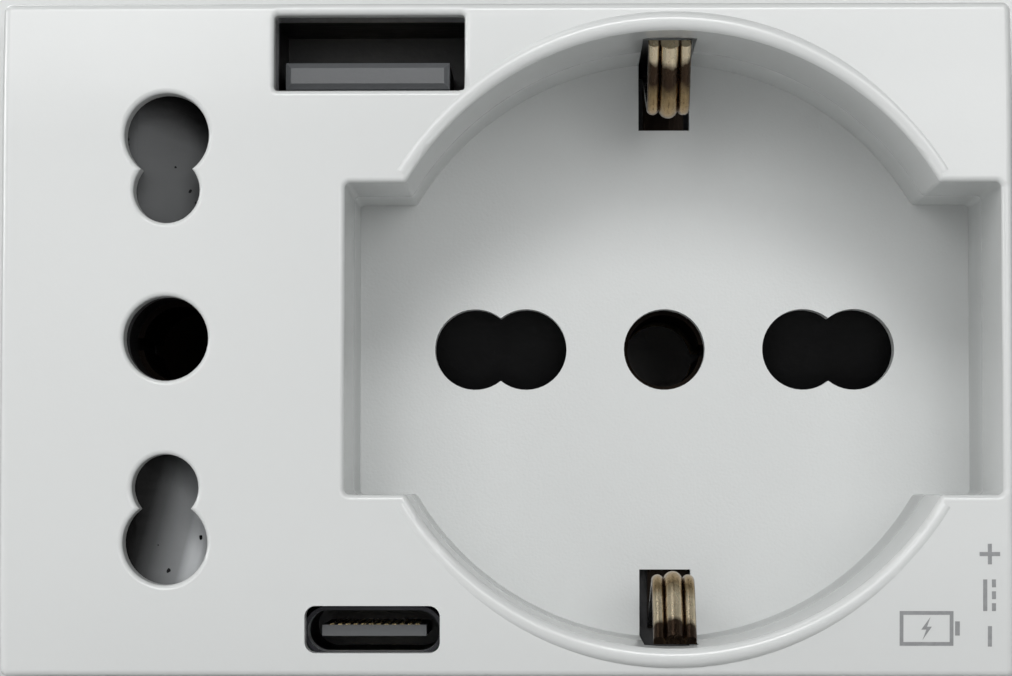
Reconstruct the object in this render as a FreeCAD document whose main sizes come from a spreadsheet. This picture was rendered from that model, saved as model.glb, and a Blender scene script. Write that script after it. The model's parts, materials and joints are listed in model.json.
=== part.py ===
import FreeCAD, Part
import math
import os
import re
import Sketcher
from FreeCAD import Placement, Rotation, Vector

# Wall-box insert with an upright two-pole socket on the left, a deep round socket on the right
# and two USB charging ports between them. X is to the right, Z is up and the face looks along -Y.
# The origin is the centre of the plane where the flange seats on its support frame.

SIZES = {
    # Face and flange
    "face_width": 64.5,  # width of the raised face
    "face_height": 43,  # height of the raised face
    "face_rise": 9,  # face in front of the flange's seat
    "face_corner": 0.5,  # corner rounding of the face
    "face_edge": 0.5,  # edge rounding of the face
    "face_flat": 13.4,  # half height of the face's flat middle
    "face_crown": 64,  # radius in which the face falls away above and below it
    "front_wall": 1.8,  # wall behind the face
    "skirt_wall": 1.1,  # side walls of the cover
    "flange_width": 69,  # width of the hidden flange
    "flange_height": 47,  # height of the hidden flange
    "flange_thick": 2,  # thickness of the flange
    "face_front": "=-face_rise",  # plane of the face
    "face_back": "=face_front + front_wall",  # back of the front wall
    # Deep well
    "well_x": 10.6,  # centre of the well
    "well_radius": 19.7,  # round part of the well
    "well_half_width": 20.9,  # half width of its rectangle
    "well_half_height": 9.95,  # half height of its rectangle
    "well_depth": 17.5,  # depth from the face to the floor
    "well_wall": 1,  # wall round the well
    "well_side_wall": 0.75,  # thin wall beside the rectangle
    "well_edge": 0.35,  # rounding of the well's rim
    "floor_thick": 1.8,  # floor of the well
    "lip_bead": 0.65,  # radius of the lip's bead
    "lip_proud": 0.06,  # lip in front of the face's flat middle
    "lip_inset": 0.05,  # bead inside the well's wall before trimming
    "lip_sweep": 117,  # degrees of a lip
    "floor_front": "=face_front + well_depth",  # front of the floor
    "floor_back": "=floor_front + floor_thick",  # back of the floor
    "tube_radius": "=well_radius + well_wall",  # outside of the well
    "lip_radius": "=well_radius + lip_bead - lip_inset",  # centre line of the bead
    # Pin holes
    "near_pitch": 9.5,  # from the earth pin to the nearer live pin
    "far_pitch": 13,  # from the earth pin to the further live pin
    "left_x": -21.7,  # centre of the left socket
    "left_hole": 2.7,  # radius of the larger left holes
    "left_small_hole": 2.12,  # radius of the smaller left holes
    "hole_edge": 0.3,  # rounding of the left holes
    "right_hole": 2.78,  # radius of the right holes
    "pin_length": 19,  # length of a plug's pins
    "large_pin": 2.5,  # radius of a large pin
    "middle_pin": 2.4,  # radius of a middle pin
    "small_pin": 2,  # radius of a small pin
    "web_play": 0.15,  # blocks' holes beyond those in the cover
    # Charging ports
    "port_a_x": -8.75,  # centre of the larger port
    "port_a_z": 18.3,  # its height
    "port_a_width": 12.2,  # its opening's width
    "port_a_height": 4.9,  # its opening's height
    "port_a_sheet": 0.25,  # its shell
    "port_c_x": -8.5,  # centre of the smaller port
    "port_c_z": -18.5,  # its height
    "port_c_width": 8.6,  # its opening's width
    "port_c_height": 3,  # its opening's height
    "port_c_corner": 0.7,  # its opening's corners
    "port_a_corner": 0.25,  # corners of the larger opening
    "shell_c_width": 8.94,  # outside width of its shell
    "shell_c_height": 3.16,  # outside height of its shell
    "shell_c_wall": 0.25,  # wall of its shell
    "shell_c_drop": 0.15,  # its shell below its opening's centre
    "port_play": 0.1,  # room round a shell
    "tongue_a_width": 10.6,  # larger tongue
    "tongue_a_thick": 1.7,  # its thickness
    "tongue_a_lift": 0.4,  # its height above the shell's lower wall
    "tongue_a_shift": 0.25,  # its shift to the left
    "tongue_a_recess": 0.8,  # its tip behind the shell's front
    "tongue_c_width": 6.69,  # smaller tongue
    "tongue_c_thick": 0.7,  # its thickness
    "tongue_c_recess": 0.9,  # its tip behind the shell's front
    "insulator_base": 2.4,  # solid back of both insulators
    "strip_a_width": 1.2,  # larger contact strips
    "strip_a_pitch": 2.3,  # their spacing
    "strip_a_thick": 0.15,  # their thickness
    "strip_a_recess": 1.5,  # their start behind the tongue's tip
    "strip_c_width": 0.28,  # smaller contact strips
    "strip_c_pitch": 0.5,  # their spacing
    "strip_c_thick": 0.08,  # their thickness
    "strip_c_recess": 0.8,  # their start behind the tongue's tip
    "strip_proud": 0.03,  # strips above the tongues they lie in
    "tongue_bevel": 0.35,  # bevel of the larger tongue's tip
    "board_thick": 1.2,  # thickness of both boards
    "port_depth": 12.4,  # length of the shells
    "port_board_y": "=face_back + port_depth",  # front of the port board
    "port_board_back": "=port_board_y + board_thick",  # back of the port board
    "shell_a_bottom": "=port_a_z - port_a_height / 2",  # inside bottom of the larger shell
    "shell_c_z": "=port_c_z - shell_c_drop",  # centre of the smaller shell
    # Side earth clips
    "slot_width": 3.5,  # slots in the well's wall
    "slot_inner": 15.1,  # start of the slots in the floor
    "slot_front": 3.8,  # their ends behind the face
    "slot_outer": 20.9,  # their depth in the cover
    "clip_width": 2.8,  # width of the strip
    "clip_thick": 0.45,  # thickness of the strip
    "clip_corner": 15.15,  # corner of the bent strip
    "clip_corner_y": -0.9,  # its place along the well
    "clip_bend": 2.5,  # bend at that corner
    "clip_foot": 18.7,  # where the strip leaves the yoke
    "clip_tip": 19.3,  # its free end
    "clip_gap": 0.35,  # free end behind the slot's end
    "clip_rib": 0.5,  # height of the middle rib
    "clip_side_rib": 0.28,  # height of the side ribs
    "clip_rib_half": 0.62,  # half width of the middle rib
    "lower_clip_shift": 0.25,  # lower clip to the right
    "yoke_thick": 0.55,  # strip behind the floor
    "yoke_ring": 4.3,  # ring round the earth pin
    # Shutters
    "shutter_play": 0.2,  # room in front of and behind the left shutter
    "left_room": 2.5,  # depth of the left shutter's room
    "left_flap_half": 2.95,  # half width of the left flaps
    "left_flap_low": 7.15,  # lower end of the flaps
    "left_flap_high": 15.95,  # upper end of the flaps
    "left_arm_high": 9.1,  # upper side of the arms
    "left_bar_x": -13.4,  # left side of the joining bar
    "left_bar_width": 1.4,  # width of the joining bar
    "left_travel": 5.5,  # travel of the left shutter
    "ramp_drop": 1.5,  # depth of the ramps
    "ramp_land": 0.9,  # flat top of a ramp
    "right_play": 0.3,  # room round the right shutter
    "right_room": 3.7,  # depth of the right shutter's room
    "right_flap_in": 6.4,  # inner side of the right flaps
    "right_flap_out": 16.2,  # outer side of the right flaps
    "right_flap_half": 3.1,  # half height of the right flaps
    "right_bridge_low": 3.7,  # lower side of the bridge
    "right_bridge_high": 6.7,  # upper side of the bridge
    "right_travel": 6,  # travel of the right shutter
    "spring_wire": 0.16,  # radius of the springs' wire
    "spring_left_radius": 0.75,  # mean radius of the left springs
    "spring_right_radius": 0.85,  # mean radius of the right spring
    "spring_left_z": 5,  # left springs off the middle
    "spring_turns": 6,  # turns of a spring
    "spring_seat": 0.05,  # play at a spring's moving end
    "spring_right_top": 18,  # fixed end of the right spring
    "spring_room": 1.2,  # half width of the right spring's slot
    "left_room_back": "=face_back + left_room",  # back of the left shutter's room
    "left_web": 4.4,  # wall behind the left shutter
    "right_web": 1,  # wall behind the right shutter
    "left_web_back": "=left_room_back + left_web",  # back of the left web
    "right_room_back": "=floor_back + right_room",  # back of the right shutter's room
    "right_web_back": "=right_room_back + right_web",  # back of the right web
    # Contact blocks
    "left_block_left": -31,  # left side of the left block
    "left_block_inner": -17.6,  # right side of its wide front
    "left_block_right": -11.35,  # right side of its front
    "left_block_half": 16.7,  # half height
    "left_arm_half": 14.6,  # half height of its right part
    "left_rear_left": -29.4,  # left side of its rear
    "left_rear_right": -15.6,  # right side of its rear
    "left_block_back": 11.6,  # back of the left block
    "left_lid_thick": 1.2,  # lid of the left block
    "right_block_half": 17.4,  # half width of the right block
    "right_block_top": 14,  # its upper side
    "right_block_split": -5.6,  # lower side of its wide part
    "right_foot_half": 15.2,  # half width of its terminal part
    "right_foot_low": -20.9,  # its lower side
    "right_block_back": 28,  # back of the right block
    "right_lid_thick": 1,  # lid of the right block
    "right_lid_low": -7.9,  # lower side of that lid
    "left_lid_half": 16.2,  # half height of the left lid
    "tower_wall": 1.4,  # walls of the right spring's tower
    "room_play": 0.2,  # room round the metal parts
    # Contacts and links
    "sheet": 0.6,  # thickness of the contact strip
    "sleeve_wall": 0.5,  # wall of the sleeves
    "sleeve_slit": 0.8,  # slit in the sleeves
    "tail_half": 2,  # half width of the tails
    "tail_z": 11,  # middle of the live tails
    "riser_x": -13.2,  # left side of the risers
    "left_sleeve_front": "=left_web_back + room_play",  # front of the left sleeves
    "right_sleeve_back": 27,  # back of the right sleeves
    "near_plate": 3.4,  # half height of the right plates
    "plate_half": 4.85,  # half width of the right plates
    "earth_tail_z": 2.8,  # lower side of the right earth contact's tail
    "neutral_tail_z": -5.2,  # lower side of the right neutral contact's tail
    "link_front": "=right_block_back + right_lid_thick",  # front of the link bars
    "link_back": "=link_front + sheet",  # back of the link bars
    "earth_link_low": -2,  # lower side of the earth link
    "earth_link_high": 3.4,  # upper side of the earth link
    "neutral_link_low": -6.8,  # lower side of the neutral link
    "neutral_link_high": -4.4,  # upper side of the neutral link
    "neutral_leg_right": -9.5,  # right side of the neutral link's leg
    "live_x": "=(near_pitch + far_pitch) / 2",  # middle of a pair of holes
    "line_arm_left": "=well_x - live_x - plate_half",  # left side of the rising arm
    # Terminals
    "tongue_top": -12.8,  # upper side of the tongues
    "cage_half": 3.2,  # half width of a cage
    "cage_side": 0.8,  # side walls of a cage
    "cage_front": 18.5,  # front of a cage
    "cage_length": 7,  # length of a cage
    "cage_nut": 1.5,  # threaded wall of a cage
    "cage_roof": 1.2,  # clamping wall of a cage
    "cage_under": 0.5,  # threaded wall below the tongue
    "cage_room": 3.5,  # wire room above the tongue
    "cage_travel": 3,  # travel of a cage
    "screw_core": 1.45,  # radius of a terminal screw
    "screw_play": 0.05,  # radial play in the cage's thread
    "screw_head": 2.5,  # radius of its head
    "head_high": 1.7,  # height of its head
    "head_low": -20.9,  # end of its head
    "slot_wide": 0.8,  # driver slot
    "slot_deep": 0.9,  # depth of the driver slot
    "wire_radius": 1.9,  # wire entries
    "wire_z": "=tongue_top + wire_radius - 0.1",  # height of the wire entries
    "screw_y": "=cage_front + cage_length / 2",  # axis of the terminal screws
    "cage_top": "=tongue_top + cage_room + cage_roof",  # upper side of an open cage
    "cage_low": "=tongue_top - sheet - cage_under - cage_nut",  # its lower side
    # Rear housing
    "case_width": 67,  # width behind the flange
    "case_height": 44.4,  # height behind the flange
    "case_wall": 1.1,  # its side walls
    "case_back_wall": 2,  # its back wall
    "case_depth": 32,  # back of the housing
    "case_corner": 1.6,  # its corners
    "post_radius": 1.9,  # screw posts of the cover
    "post_left": -29.2,  # left posts
    "post_right": 29.3,  # right posts
    "post_z": 18.85,  # height of the posts
    "post_end": 12,  # where posts and bosses meet
    "pilot": 1.05,  # screw hole in a post
    "pilot_depth": 9,  # its depth
    "boss_radius": 2.4,  # bosses of the housing
    "bolt_radius": 1,  # assembly screws
    "bolt_bore": 1.25,  # their clearance hole
    "bolt_head": 1.9,  # their heads
    "bolt_head_high": 1.3,  # height of their heads
    "bolt_sink": 1.6,  # their counterbore
    "bolt_end": 4,  # their tips
    "bolt_play": 0.2,  # room round their heads
    "access_radius": 2.2,  # driver holes below the terminals
    "tooth_width": 6,  # snap teeth
    "tooth_rise": 0.9,  # their height
    "tooth_start": 2.2,  # their square side
    "tooth_length": 5,  # their length
    "tooth_x": 18,  # their distance from the middle
    "rib_thick": 1.2,  # ribs on the back wall
    "case_inner": "=case_depth - case_back_wall",  # inside of the back wall
    "case_half_inner": "=case_height / 2 - case_wall",  # inside half height
    # Power board
    "pillar": 0.8,  # pillars under the power board
    "pillar_radius": 1.1,  # radius of the pillars
    "power_left": -31.9,  # left side of the power board
    "power_right": -11.5,  # its right side
    "power_half": 16.2,  # its half height
    "notch_play": 0.3,  # notches round the risers
    "core_x": -24.1,  # middle of the transformer
    "core_width": 13,  # its ferrite core
    "core_height": 13,  # height of the core
    "core_depth": 6,  # depth of the core
    "core_leg": 3,  # middle leg of the core
    "core_side": 2,  # side legs and yokes of the core
    "bobbin_base": 1.2,  # base of the bobbin
    "bobbin_wall": 0.6,  # walls of the bobbin
    "coil_depth": 10.6,  # depth of the winding
    "coil_play": 0.2,  # winding inside the core's window
    "coil_bend": 1,  # rounded sides of the winding
    "input_can": 3.9,  # radius of the input capacitor
    "input_x": -26.8,  # its place
    "input_z": 11.7,  # its height
    "input_long": 12,  # its length
    "output_can": 3.1,  # radius of the output capacitors
    "output_long": 9,  # their length
    "output_x": -27.5,  # first output capacitor
    "output_z": -12.1,  # their height
    "output_pitch": 6.6,  # their spacing
    "can_edge": 0.5,  # rounded end of a can
    "bridge_x": -20.6,  # left side of the rectifier
    "bridge_wide": 5,  # its width
    "bridge_high": 4.4,  # its height
    "bridge_deep": 2.4,  # its depth
    "bridge_low": 9.6,  # its lower side
    "chip_x": -16.2,  # charge controller
    "chip_side": 3.6,  # its side
    "chip_deep": 1,  # its depth
    "chip_low": 3.2,  # its lower side
    "header_x": -14.6,  # left side of the link header
    "header_wide": 2.2,  # its width
    "header_low": 3.4,  # its lower side
    "header_high": 7.6,  # its upper side
    "header_base": 2.5,  # its plastic base
    "header_pin": 0.5,  # its square pins
    "header_pitch": 1.27,  # their spacing
    "left_lid_back": "=left_block_back + left_lid_thick",  # back of the left lid
    "power_front": "=left_lid_back + pillar",  # front of the power board
    "power_back": "=power_front + board_thick",  # back of the power board
}

doc = FreeCAD.newDocument("wall_socket")
sheet = doc.addObject("Spreadsheet::Sheet", "Sizes")
nodes = []


def fill_sheet():
    for row, (alias, value) in enumerate(SIZES.items(), 1):
        sheet.set(f"A{row}", alias)
        sheet.set(f"B{row}", str(value))
        sheet.setAlias(f"B{row}", alias)
    doc.recompute()


def size(alias):
    return float(sheet.get(alias))


def linked(formula):
    """The formula with each size read from the sheet."""
    return re.sub(r"[a-z_]+", lambda word: f"Sizes.{word[0]}" if word[0] in SIZES else word[0], formula)


def bind(item, prop, formula):
    item.setExpression(prop, linked(formula))


def node(item, label):
    """Marks a finished piece. Its label names its file."""
    item.Label = label
    nodes.append(item)
    return item


# Plain solids. A range is a pair of formulas, a place is one formula.


def around(centre, half):
    return (f"{centre} - ({half})", f"{centre} + ({half})")


def mirrored(span):
    return (f"-({span[1]})", f"-({span[0]})")


def both_ways(half):
    return (f"-({half})", half)


def slab(name, x, y, z):
    item = doc.addObject("Part::Box", name)
    for prop, axis, (low, high) in zip(("Length", "Width", "Height"), "xyz", (x, y, z)):
        bind(item, prop, f"({high}) - ({low})")
        bind(item, f"Placement.Base.{axis}", low)
    return item


def rod(name, radius, x, y, z):
    """A cylinder along the axis that is given as a range."""
    item = doc.addObject("Part::Cylinder", name)
    turns = {"x": Rotation(Vector(0, 1, 0), 90), "y": Rotation(Vector(1, 0, 0), -90), "z": Rotation()}
    bind(item, "Radius", radius)
    for axis, place in zip("xyz", (x, y, z)):
        if isinstance(place, tuple):
            item.Placement = Placement(Vector(), turns[axis])
            bind(item, "Height", f"({place[1]}) - ({place[0]})")
    for axis, place in zip("xyz", (x, y, z)):
        bind(item, f"Placement.Base.{axis}", place[0] if isinstance(place, tuple) else place)
    return item


def wedge(name, y, front, back):
    """A block whose front and back are two rectangles, each an x range and a z range."""
    item = doc.addObject("Part::Wedge", name)
    bounds = (*y, *front[0], *front[1], *back[0], *back[1])
    names = ("Ymin", "Ymax", "Xmin", "Xmax", "Zmin", "Zmax", "X2min", "X2max", "Z2min", "Z2max")
    for prop, formula in zip(names, bounds):
        bind(item, prop, formula)
    return item


def fuse(name, *parts):
    item = doc.addObject("Part::MultiFuse", name)
    item.Shapes = list(parts)
    item.Refine = True
    return item


def cut(name, base, *tools):
    item = doc.addObject("Part::Cut", name)
    item.Base = base
    item.Tool = tools[0] if len(tools) == 1 else fuse(f"{name}_tool", *tools)
    item.Refine = True
    return item


def made(name, shape, placement=Placement()):
    item = doc.addObject("Part::Feature", name)
    item.Shape = shape
    item.Placement = placement
    return item


# Mouldings: bodies with sketches on planes parallel to the face


class Moulding:
    def __init__(self, name):
        self.name = name
        self.body = doc.addObject("PartDesign::Body", name)
        self.planes = {feature.Role: feature for feature in self.body.Origin.OriginFeatures}

    def sketch(self, name, level, loops, plane="XZ_Plane", sign="-"):
        item = self.body.newObject("Sketcher::SketchObject", f"{name}_sketch")
        item.AttachmentSupport = (self.planes[plane], [""])
        item.MapMode = "FlatFace"
        bind(item, "AttachmentOffset.Base.z", f"{sign}({level})")
        for loop in loops:
            loop(item)
        return item

    def pad(self, name, y, *loops):
        item = self.body.newObject("PartDesign::Pad", name)
        item.Profile = self.sketch(name, y[1], loops)
        bind(item, "Length", f"({y[1]}) - ({y[0]})")
        return item

    def side_pad(self, name, x, *loops):
        """Adds to the right from x[0], with a sketch of Y and Z."""
        item = self.body.newObject("PartDesign::Pad", name)
        item.Profile = self.sketch(name, x[0], loops, "YZ_Plane", "")
        bind(item, "Length", f"({x[1]}) - ({x[0]})")
        return item

    def pocket(self, name, y, *loops):
        item = self.body.newObject("PartDesign::Pocket", name)
        item.Profile = self.sketch(name, y[0], loops)
        bind(item, "Length", f"({y[1]}) - ({y[0]})")
        return item

    def upright_pocket(self, name, z, *loops):
        """Cuts upwards from the height z[0], with a sketch seen from above."""
        item = self.body.newObject("PartDesign::Pocket", name)
        item.Profile = self.sketch(name, z[0], loops, "XY_Plane", "")
        item.Reversed = True
        bind(item, "Length", f"({z[1]}) - ({z[0]})")
        return item

    def round_edges(self, name, radius, wanted):
        doc.recompute()
        last = self.body.Tip
        names = [f"Edge{n}" for n, edge in enumerate(last.Shape.Edges, 1) if wanted(edge)]
        item = self.body.newObject("PartDesign::Fillet", name)
        item.Base = (last, names)
        bind(item, "Radius", radius)
        return item


def place(sketch, kind, geometry, point, formula, start=None):
    start = start or (1.0 if kind in ("DistanceX", "DistanceY") else 2.0)
    if kind == "Radius":
        constraint = Sketcher.Constraint(kind, geometry, start)
    else:
        constraint = Sketcher.Constraint(kind, -1, 1, geometry, point, start)
    index = sketch.addConstraint(constraint)
    sketch.setExpression(f"Constraints[{index}]", linked(formula))


def box_loop(x, z):
    """A rectangle over two ranges."""

    def draw(sketch):
        corners = [Vector(a, b, 0) for a, b in ((1, 1), (2, 1), (2, 2), (1, 2))]
        first = sketch.GeometryCount
        for n in range(4):
            sketch.addGeometry(Part.LineSegment(corners[n], corners[(n + 1) % 4]), False)
        for n in range(4):
            joint = Sketcher.Constraint("Coincident", first + n, 2, first + (n + 1) % 4, 1)
            sketch.addConstraint(joint)
            sketch.addConstraint(Sketcher.Constraint("Vertical" if n % 2 else "Horizontal", first + n))
        place(sketch, "DistanceX", first, 1, x[0])
        place(sketch, "DistanceX", first + 1, 1, x[1])
        place(sketch, "DistanceY", first, 1, z[0])
        place(sketch, "DistanceY", first + 2, 1, z[1])

    return draw


def centred_loop(half_width, half_height):
    return box_loop((f"-({half_width})", half_width), (f"-({half_height})", half_height))


def round_loop(x, z, radius):
    """A circle."""

    def draw(sketch):
        index = sketch.addGeometry(Part.Circle(Vector(1, 1, 0), Vector(0, 0, 1), 1), False)
        place(sketch, "Radius", index, 3, radius)
        place(sketch, "DistanceX", index, 3, x)
        place(sketch, "DistanceY", index, 3, z)

    return draw


def crowned_loop(sketch):
    """The cover's side profile: a flat middle with a tangent arc above and below it."""
    front, middle, reach, crown = map(size, ("face_front", "face_flat", "face_height", "face_crown"))
    reach /= 2
    bend = math.asin((reach - middle) / crown)
    edge = front + crown * (1 - math.cos(bend))
    corners = [(0, reach), (0, -reach), (edge, -reach), (front, -middle), (front, middle), (edge, reach)]
    points = [Vector(y, z, 0) for y, z in corners]
    pairs = [points[0:2], points[1:3], points[3:5], (points[5], points[0])]
    back, low, flat, high = (sketch.addGeometry(Part.LineSegment(*pair), False) for pair in pairs)
    arcs = []
    for z, start, end in ((-middle, math.pi, math.pi + bend), (middle, math.pi - bend, math.pi)):
        circle = Part.Circle(Vector(front + crown, z, 0), Vector(0, 0, 1), crown)
        arcs.append(sketch.addGeometry(Part.ArcOfCircle(circle, start, end), False))
    joints = (
        ("Coincident", back, 2, low, 1),
        ("Coincident", low, 2, arcs[0], 2),
        ("Tangent", arcs[0], 1, flat, 1),
        ("Tangent", flat, 2, arcs[1], 2),
        ("Coincident", arcs[1], 1, high, 1),
        ("Coincident", high, 2, back, 1),
        ("Horizontal", low),
        ("Horizontal", high),
        ("Vertical", back),
        ("Vertical", flat),
        ("PointOnObject", back, 1, -2),
        ("Equal", *arcs),
    )
    for joint in joints:
        sketch.addConstraint(Sketcher.Constraint(*joint))
    place(sketch, "DistanceX", flat, 1, "face_front", front)
    place(sketch, "DistanceY", flat, 1, "-face_flat", -middle)
    place(sketch, "DistanceY", flat, 2, "face_flat", middle)
    place(sketch, "DistanceY", back, 1, "face_height / 2", reach)
    place(sketch, "DistanceY", back, 2, "-face_height / 2", -reach)
    place(sketch, "Radius", arcs[0], 3, "face_crown", crown)


def along_y(edge):
    ends = [vertex.Point for vertex in edge.Vertexes]
    return len(ends) == 2 and near(ends[0].x, ends[1].x) and near(ends[0].z, ends[1].z)


def along_z(edge):
    ends = [vertex.Point for vertex in edge.Vertexes]
    return len(ends) == 2 and near(ends[0].x, ends[1].x) and near(ends[0].y, ends[1].y)


def on_plane(edge, y):
    return near(edge.BoundBox.YMin, y) and near(edge.BoundBox.YMax, y)


def near(a, b):
    return abs(a - b) < 1e-4


# Front cover: face, flange, well, posts and lip in one moulding


# The well's corners are rounded, but by no more than a third of the step between circle and rectangle.
WELL_CORNER = "min(well_edge; (well_half_width - sqrt(well_radius^2 - well_half_height^2)) / 3)"


def front_cover():
    cover = Moulding("cover_shell")
    half_width, half_height = "face_width / 2", "face_height / 2"
    cover.side_pad("skirt", ("-face_width / 2", "face_width / 2"), crowned_loop)
    cover.round_edges("skirt_corners", "face_corner", along_y)
    cover.round_edges("face_edges", "face_edge", is_face_edge)
    cover.pad("flange", ("-flange_thick", "0"), centred_loop("flange_width / 2", "flange_height / 2"))
    cavity = centred_loop(f"{half_width} - skirt_wall", f"{half_height} - skirt_wall")
    cover.pocket("cavity", ("face_back", "0"), cavity)
    cut_ports(cover)
    cover.pad("well_tube", ("face_back", "floor_back"), round_loop("well_x", "0", "tube_radius"))
    sides = ("well_x - well_half_width - well_side_wall", "well_x + well_half_width + well_side_wall")
    ends = ("-(well_half_height + well_wall)", "well_half_height + well_wall")
    cover.pad("well_box", ("face_back", "floor_back"), box_loop(sides, ends))
    posts = [round_loop(x, f"{sign}post_z", "post_radius") for x, sign in corner_places()]
    cover.pad("posts", ("face_back", "post_end"), *posts)
    pilots = [round_loop(x, f"{sign}post_z", "pilot") for x, sign in corner_places()]
    cover.pocket("pilots", ("post_end - pilot_depth", "post_end"), *pilots)
    cover.pocket("well_round", ("face_front", "floor_front"), round_loop("well_x", "0", "well_radius"))
    mouth = box_loop(
        ("well_x - well_half_width", "well_x + well_half_width"),
        ("-well_half_height", "well_half_height"),
    )
    cover.pocket("well_mouth", ("face_front", "floor_front"), mouth)
    cover.round_edges("well_corners", WELL_CORNER, is_well_corner)
    cover.round_edges("well_rim", "well_edge", is_well_rim)
    cut_pin_holes(cover)
    cover.round_edges("hole_edges", "hole_edge", is_hole_rim)
    cut_port_room(cover)
    cut_clip_slots(cover)
    lips = [lip_arc("upper_lip", 0), lip_arc("lower_lip", 180)]
    return node(fuse("front_cover", cover.body, *lips), "front_cover")


def is_face_edge(edge):
    """The outline of the face, without the seams between its flat middle and the arcs."""
    centre = edge.BoundBox.Center
    side = abs(centre.x) > size("face_width") / 2 - size("face_corner")
    end = abs(centre.z) > size("face_height") / 2 - size("face_corner")
    return (side or end) and edge.BoundBox.YMax < size("face_back")


def corner_places():
    return [(x, sign) for x in ("post_left", "post_right") for sign in ("", "-")]


def is_well_corner(edge):
    """The upright edges of the well: its four corners and the four where arc and rectangle meet."""
    if not along_y(edge) or edge.BoundBox.YMin > size("face_front") + 1e-4:
        return False
    point = edge.Vertexes[0].Point
    return near(abs(point.z), size("well_half_height")) and near(edge.BoundBox.YMax, size("floor_front"))


def is_front_rim(edge):
    box = edge.BoundBox
    on_face = box.YMax < size("face_front") + 0.9 and not along_y(edge)
    seam = near(abs(box.ZMin), size("face_flat")) and near(box.ZMin, box.ZMax)
    return on_face and not seam


def is_well_rim(edge):
    centre = edge.BoundBox.Center
    beside = math.hypot(centre.x - size("well_x"), centre.z) < size("tube_radius") + 1
    return beside and is_front_rim(edge)


def is_hole_rim(edge):
    box = edge.BoundBox
    inside = size("left_hole") + 1e-3
    return box.XMax < size("left_x") + inside and box.XMin > size("left_x") - inside and is_front_rim(edge)


def cut_pin_holes(cover):
    wall = ("face_front", "face_back")
    large = [round_loop("left_x", z, "left_hole") for z in ("-far_pitch", "0", "far_pitch")]
    small = [round_loop("left_x", z, "left_small_hole") for z in ("-near_pitch", "near_pitch")]
    cover.pocket("left_holes", wall, *large)
    cover.pocket("left_small_holes", wall, *small)
    floor = ("floor_front", "floor_back")
    near_places = ("(-near_pitch)", "0", "near_pitch")
    near_holes = [round_loop(f"well_x + {x}", "0", "right_hole") for x in near_places]
    far_holes = [round_loop(f"well_x + {x}", "0", "right_hole") for x in ("(-far_pitch)", "far_pitch")]
    cover.pocket("right_holes", floor, *near_holes)
    cover.pocket("right_far_holes", floor, *far_holes)


def cut_ports(cover):
    """The two openings, cut while nothing stands behind the front wall yet."""
    wall = ("face_front", "face_back")
    for port in "ac":
        across = around(f"port_{port}_x", f"port_{port}_width / 2")
        up = around(f"port_{port}_z", f"port_{port}_height / 2")
        cover.pocket(f"port_{port}_opening", wall, box_loop(across, up))
    cover.round_edges("port_a_corners", "port_a_corner", is_port_a_corner)
    cover.round_edges("port_c_corners", "port_c_corner", is_port_c_corner)


def cut_port_room(cover):
    """Room for the larger shell, which comes close to the well."""
    room = "port_a_sheet + port_play"
    across = around("port_a_x", f"port_a_width / 2 + {room}")
    up = around("port_a_z", f"port_a_height / 2 + {room}")
    cover.pocket("port_a_room", ("face_back", "port_board_y + port_play"), box_loop(across, up))


def is_port_c_corner(edge):
    return is_port_corner(edge, "c")


def is_port_a_corner(edge):
    return is_port_corner(edge, "a")


def is_port_corner(edge, port):
    if not along_y(edge) or edge.BoundBox.YMax > size("face_back") + 1e-4:
        return False
    point = edge.Vertexes[0].Point
    beside = near(abs(point.x - size(f"port_{port}_x")), size(f"port_{port}_width") / 2)
    return beside and near(abs(point.z - size(f"port_{port}_z")), size(f"port_{port}_height") / 2)



def cut_clip_slots(cover):
    across = around("well_x", "slot_width / 2")
    depth = ("face_front + slot_front", "floor_back")
    upper = box_loop(across, ("slot_inner", "slot_outer"))
    lower = box_loop(across, ("-slot_outer", "-slot_inner"))
    cover.pocket("clip_slots", depth, upper, lower)


def lip_arc(name, turn):
    """A run of round bead on the well's rim, clear of the larger port.

    The face falls away from it, so it shows at its middle.
    """
    bead = doc.addObject("Part::Torus", f"{name}_bead")
    start = Rotation(Vector(0, 0, 1), (180 - size("lip_sweep")) / 2)
    upright = Rotation(Vector(1, 0, 0), 90).multiply(start)
    bead.Placement = Placement(Vector(), Rotation(Vector(0, 1, 0), turn).multiply(upright))
    bind(bead, "Angle3", "lip_sweep")
    bind(bead, "Radius1", "lip_radius")
    bind(bead, "Radius2", "lip_bead")
    bind(bead, "Placement.Base.x", "well_x")
    bind(bead, "Placement.Base.y", "face_front + lip_bead - lip_proud")
    well = rod(f"{name}_well", "well_radius", "well_x", ("face_front - 5", "floor_front"), "0")
    port_x, port_z = around("port_a_x", "port_a_width / 2"), around("port_a_z", "port_a_height / 2")
    port = slab(f"{name}_port", port_x, ("face_front - 5", "face_back"), port_z)
    return cut(name, bead, well, port)


# Rear housing: open box with screw bosses, wire entries, driver holes and snap teeth


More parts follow.
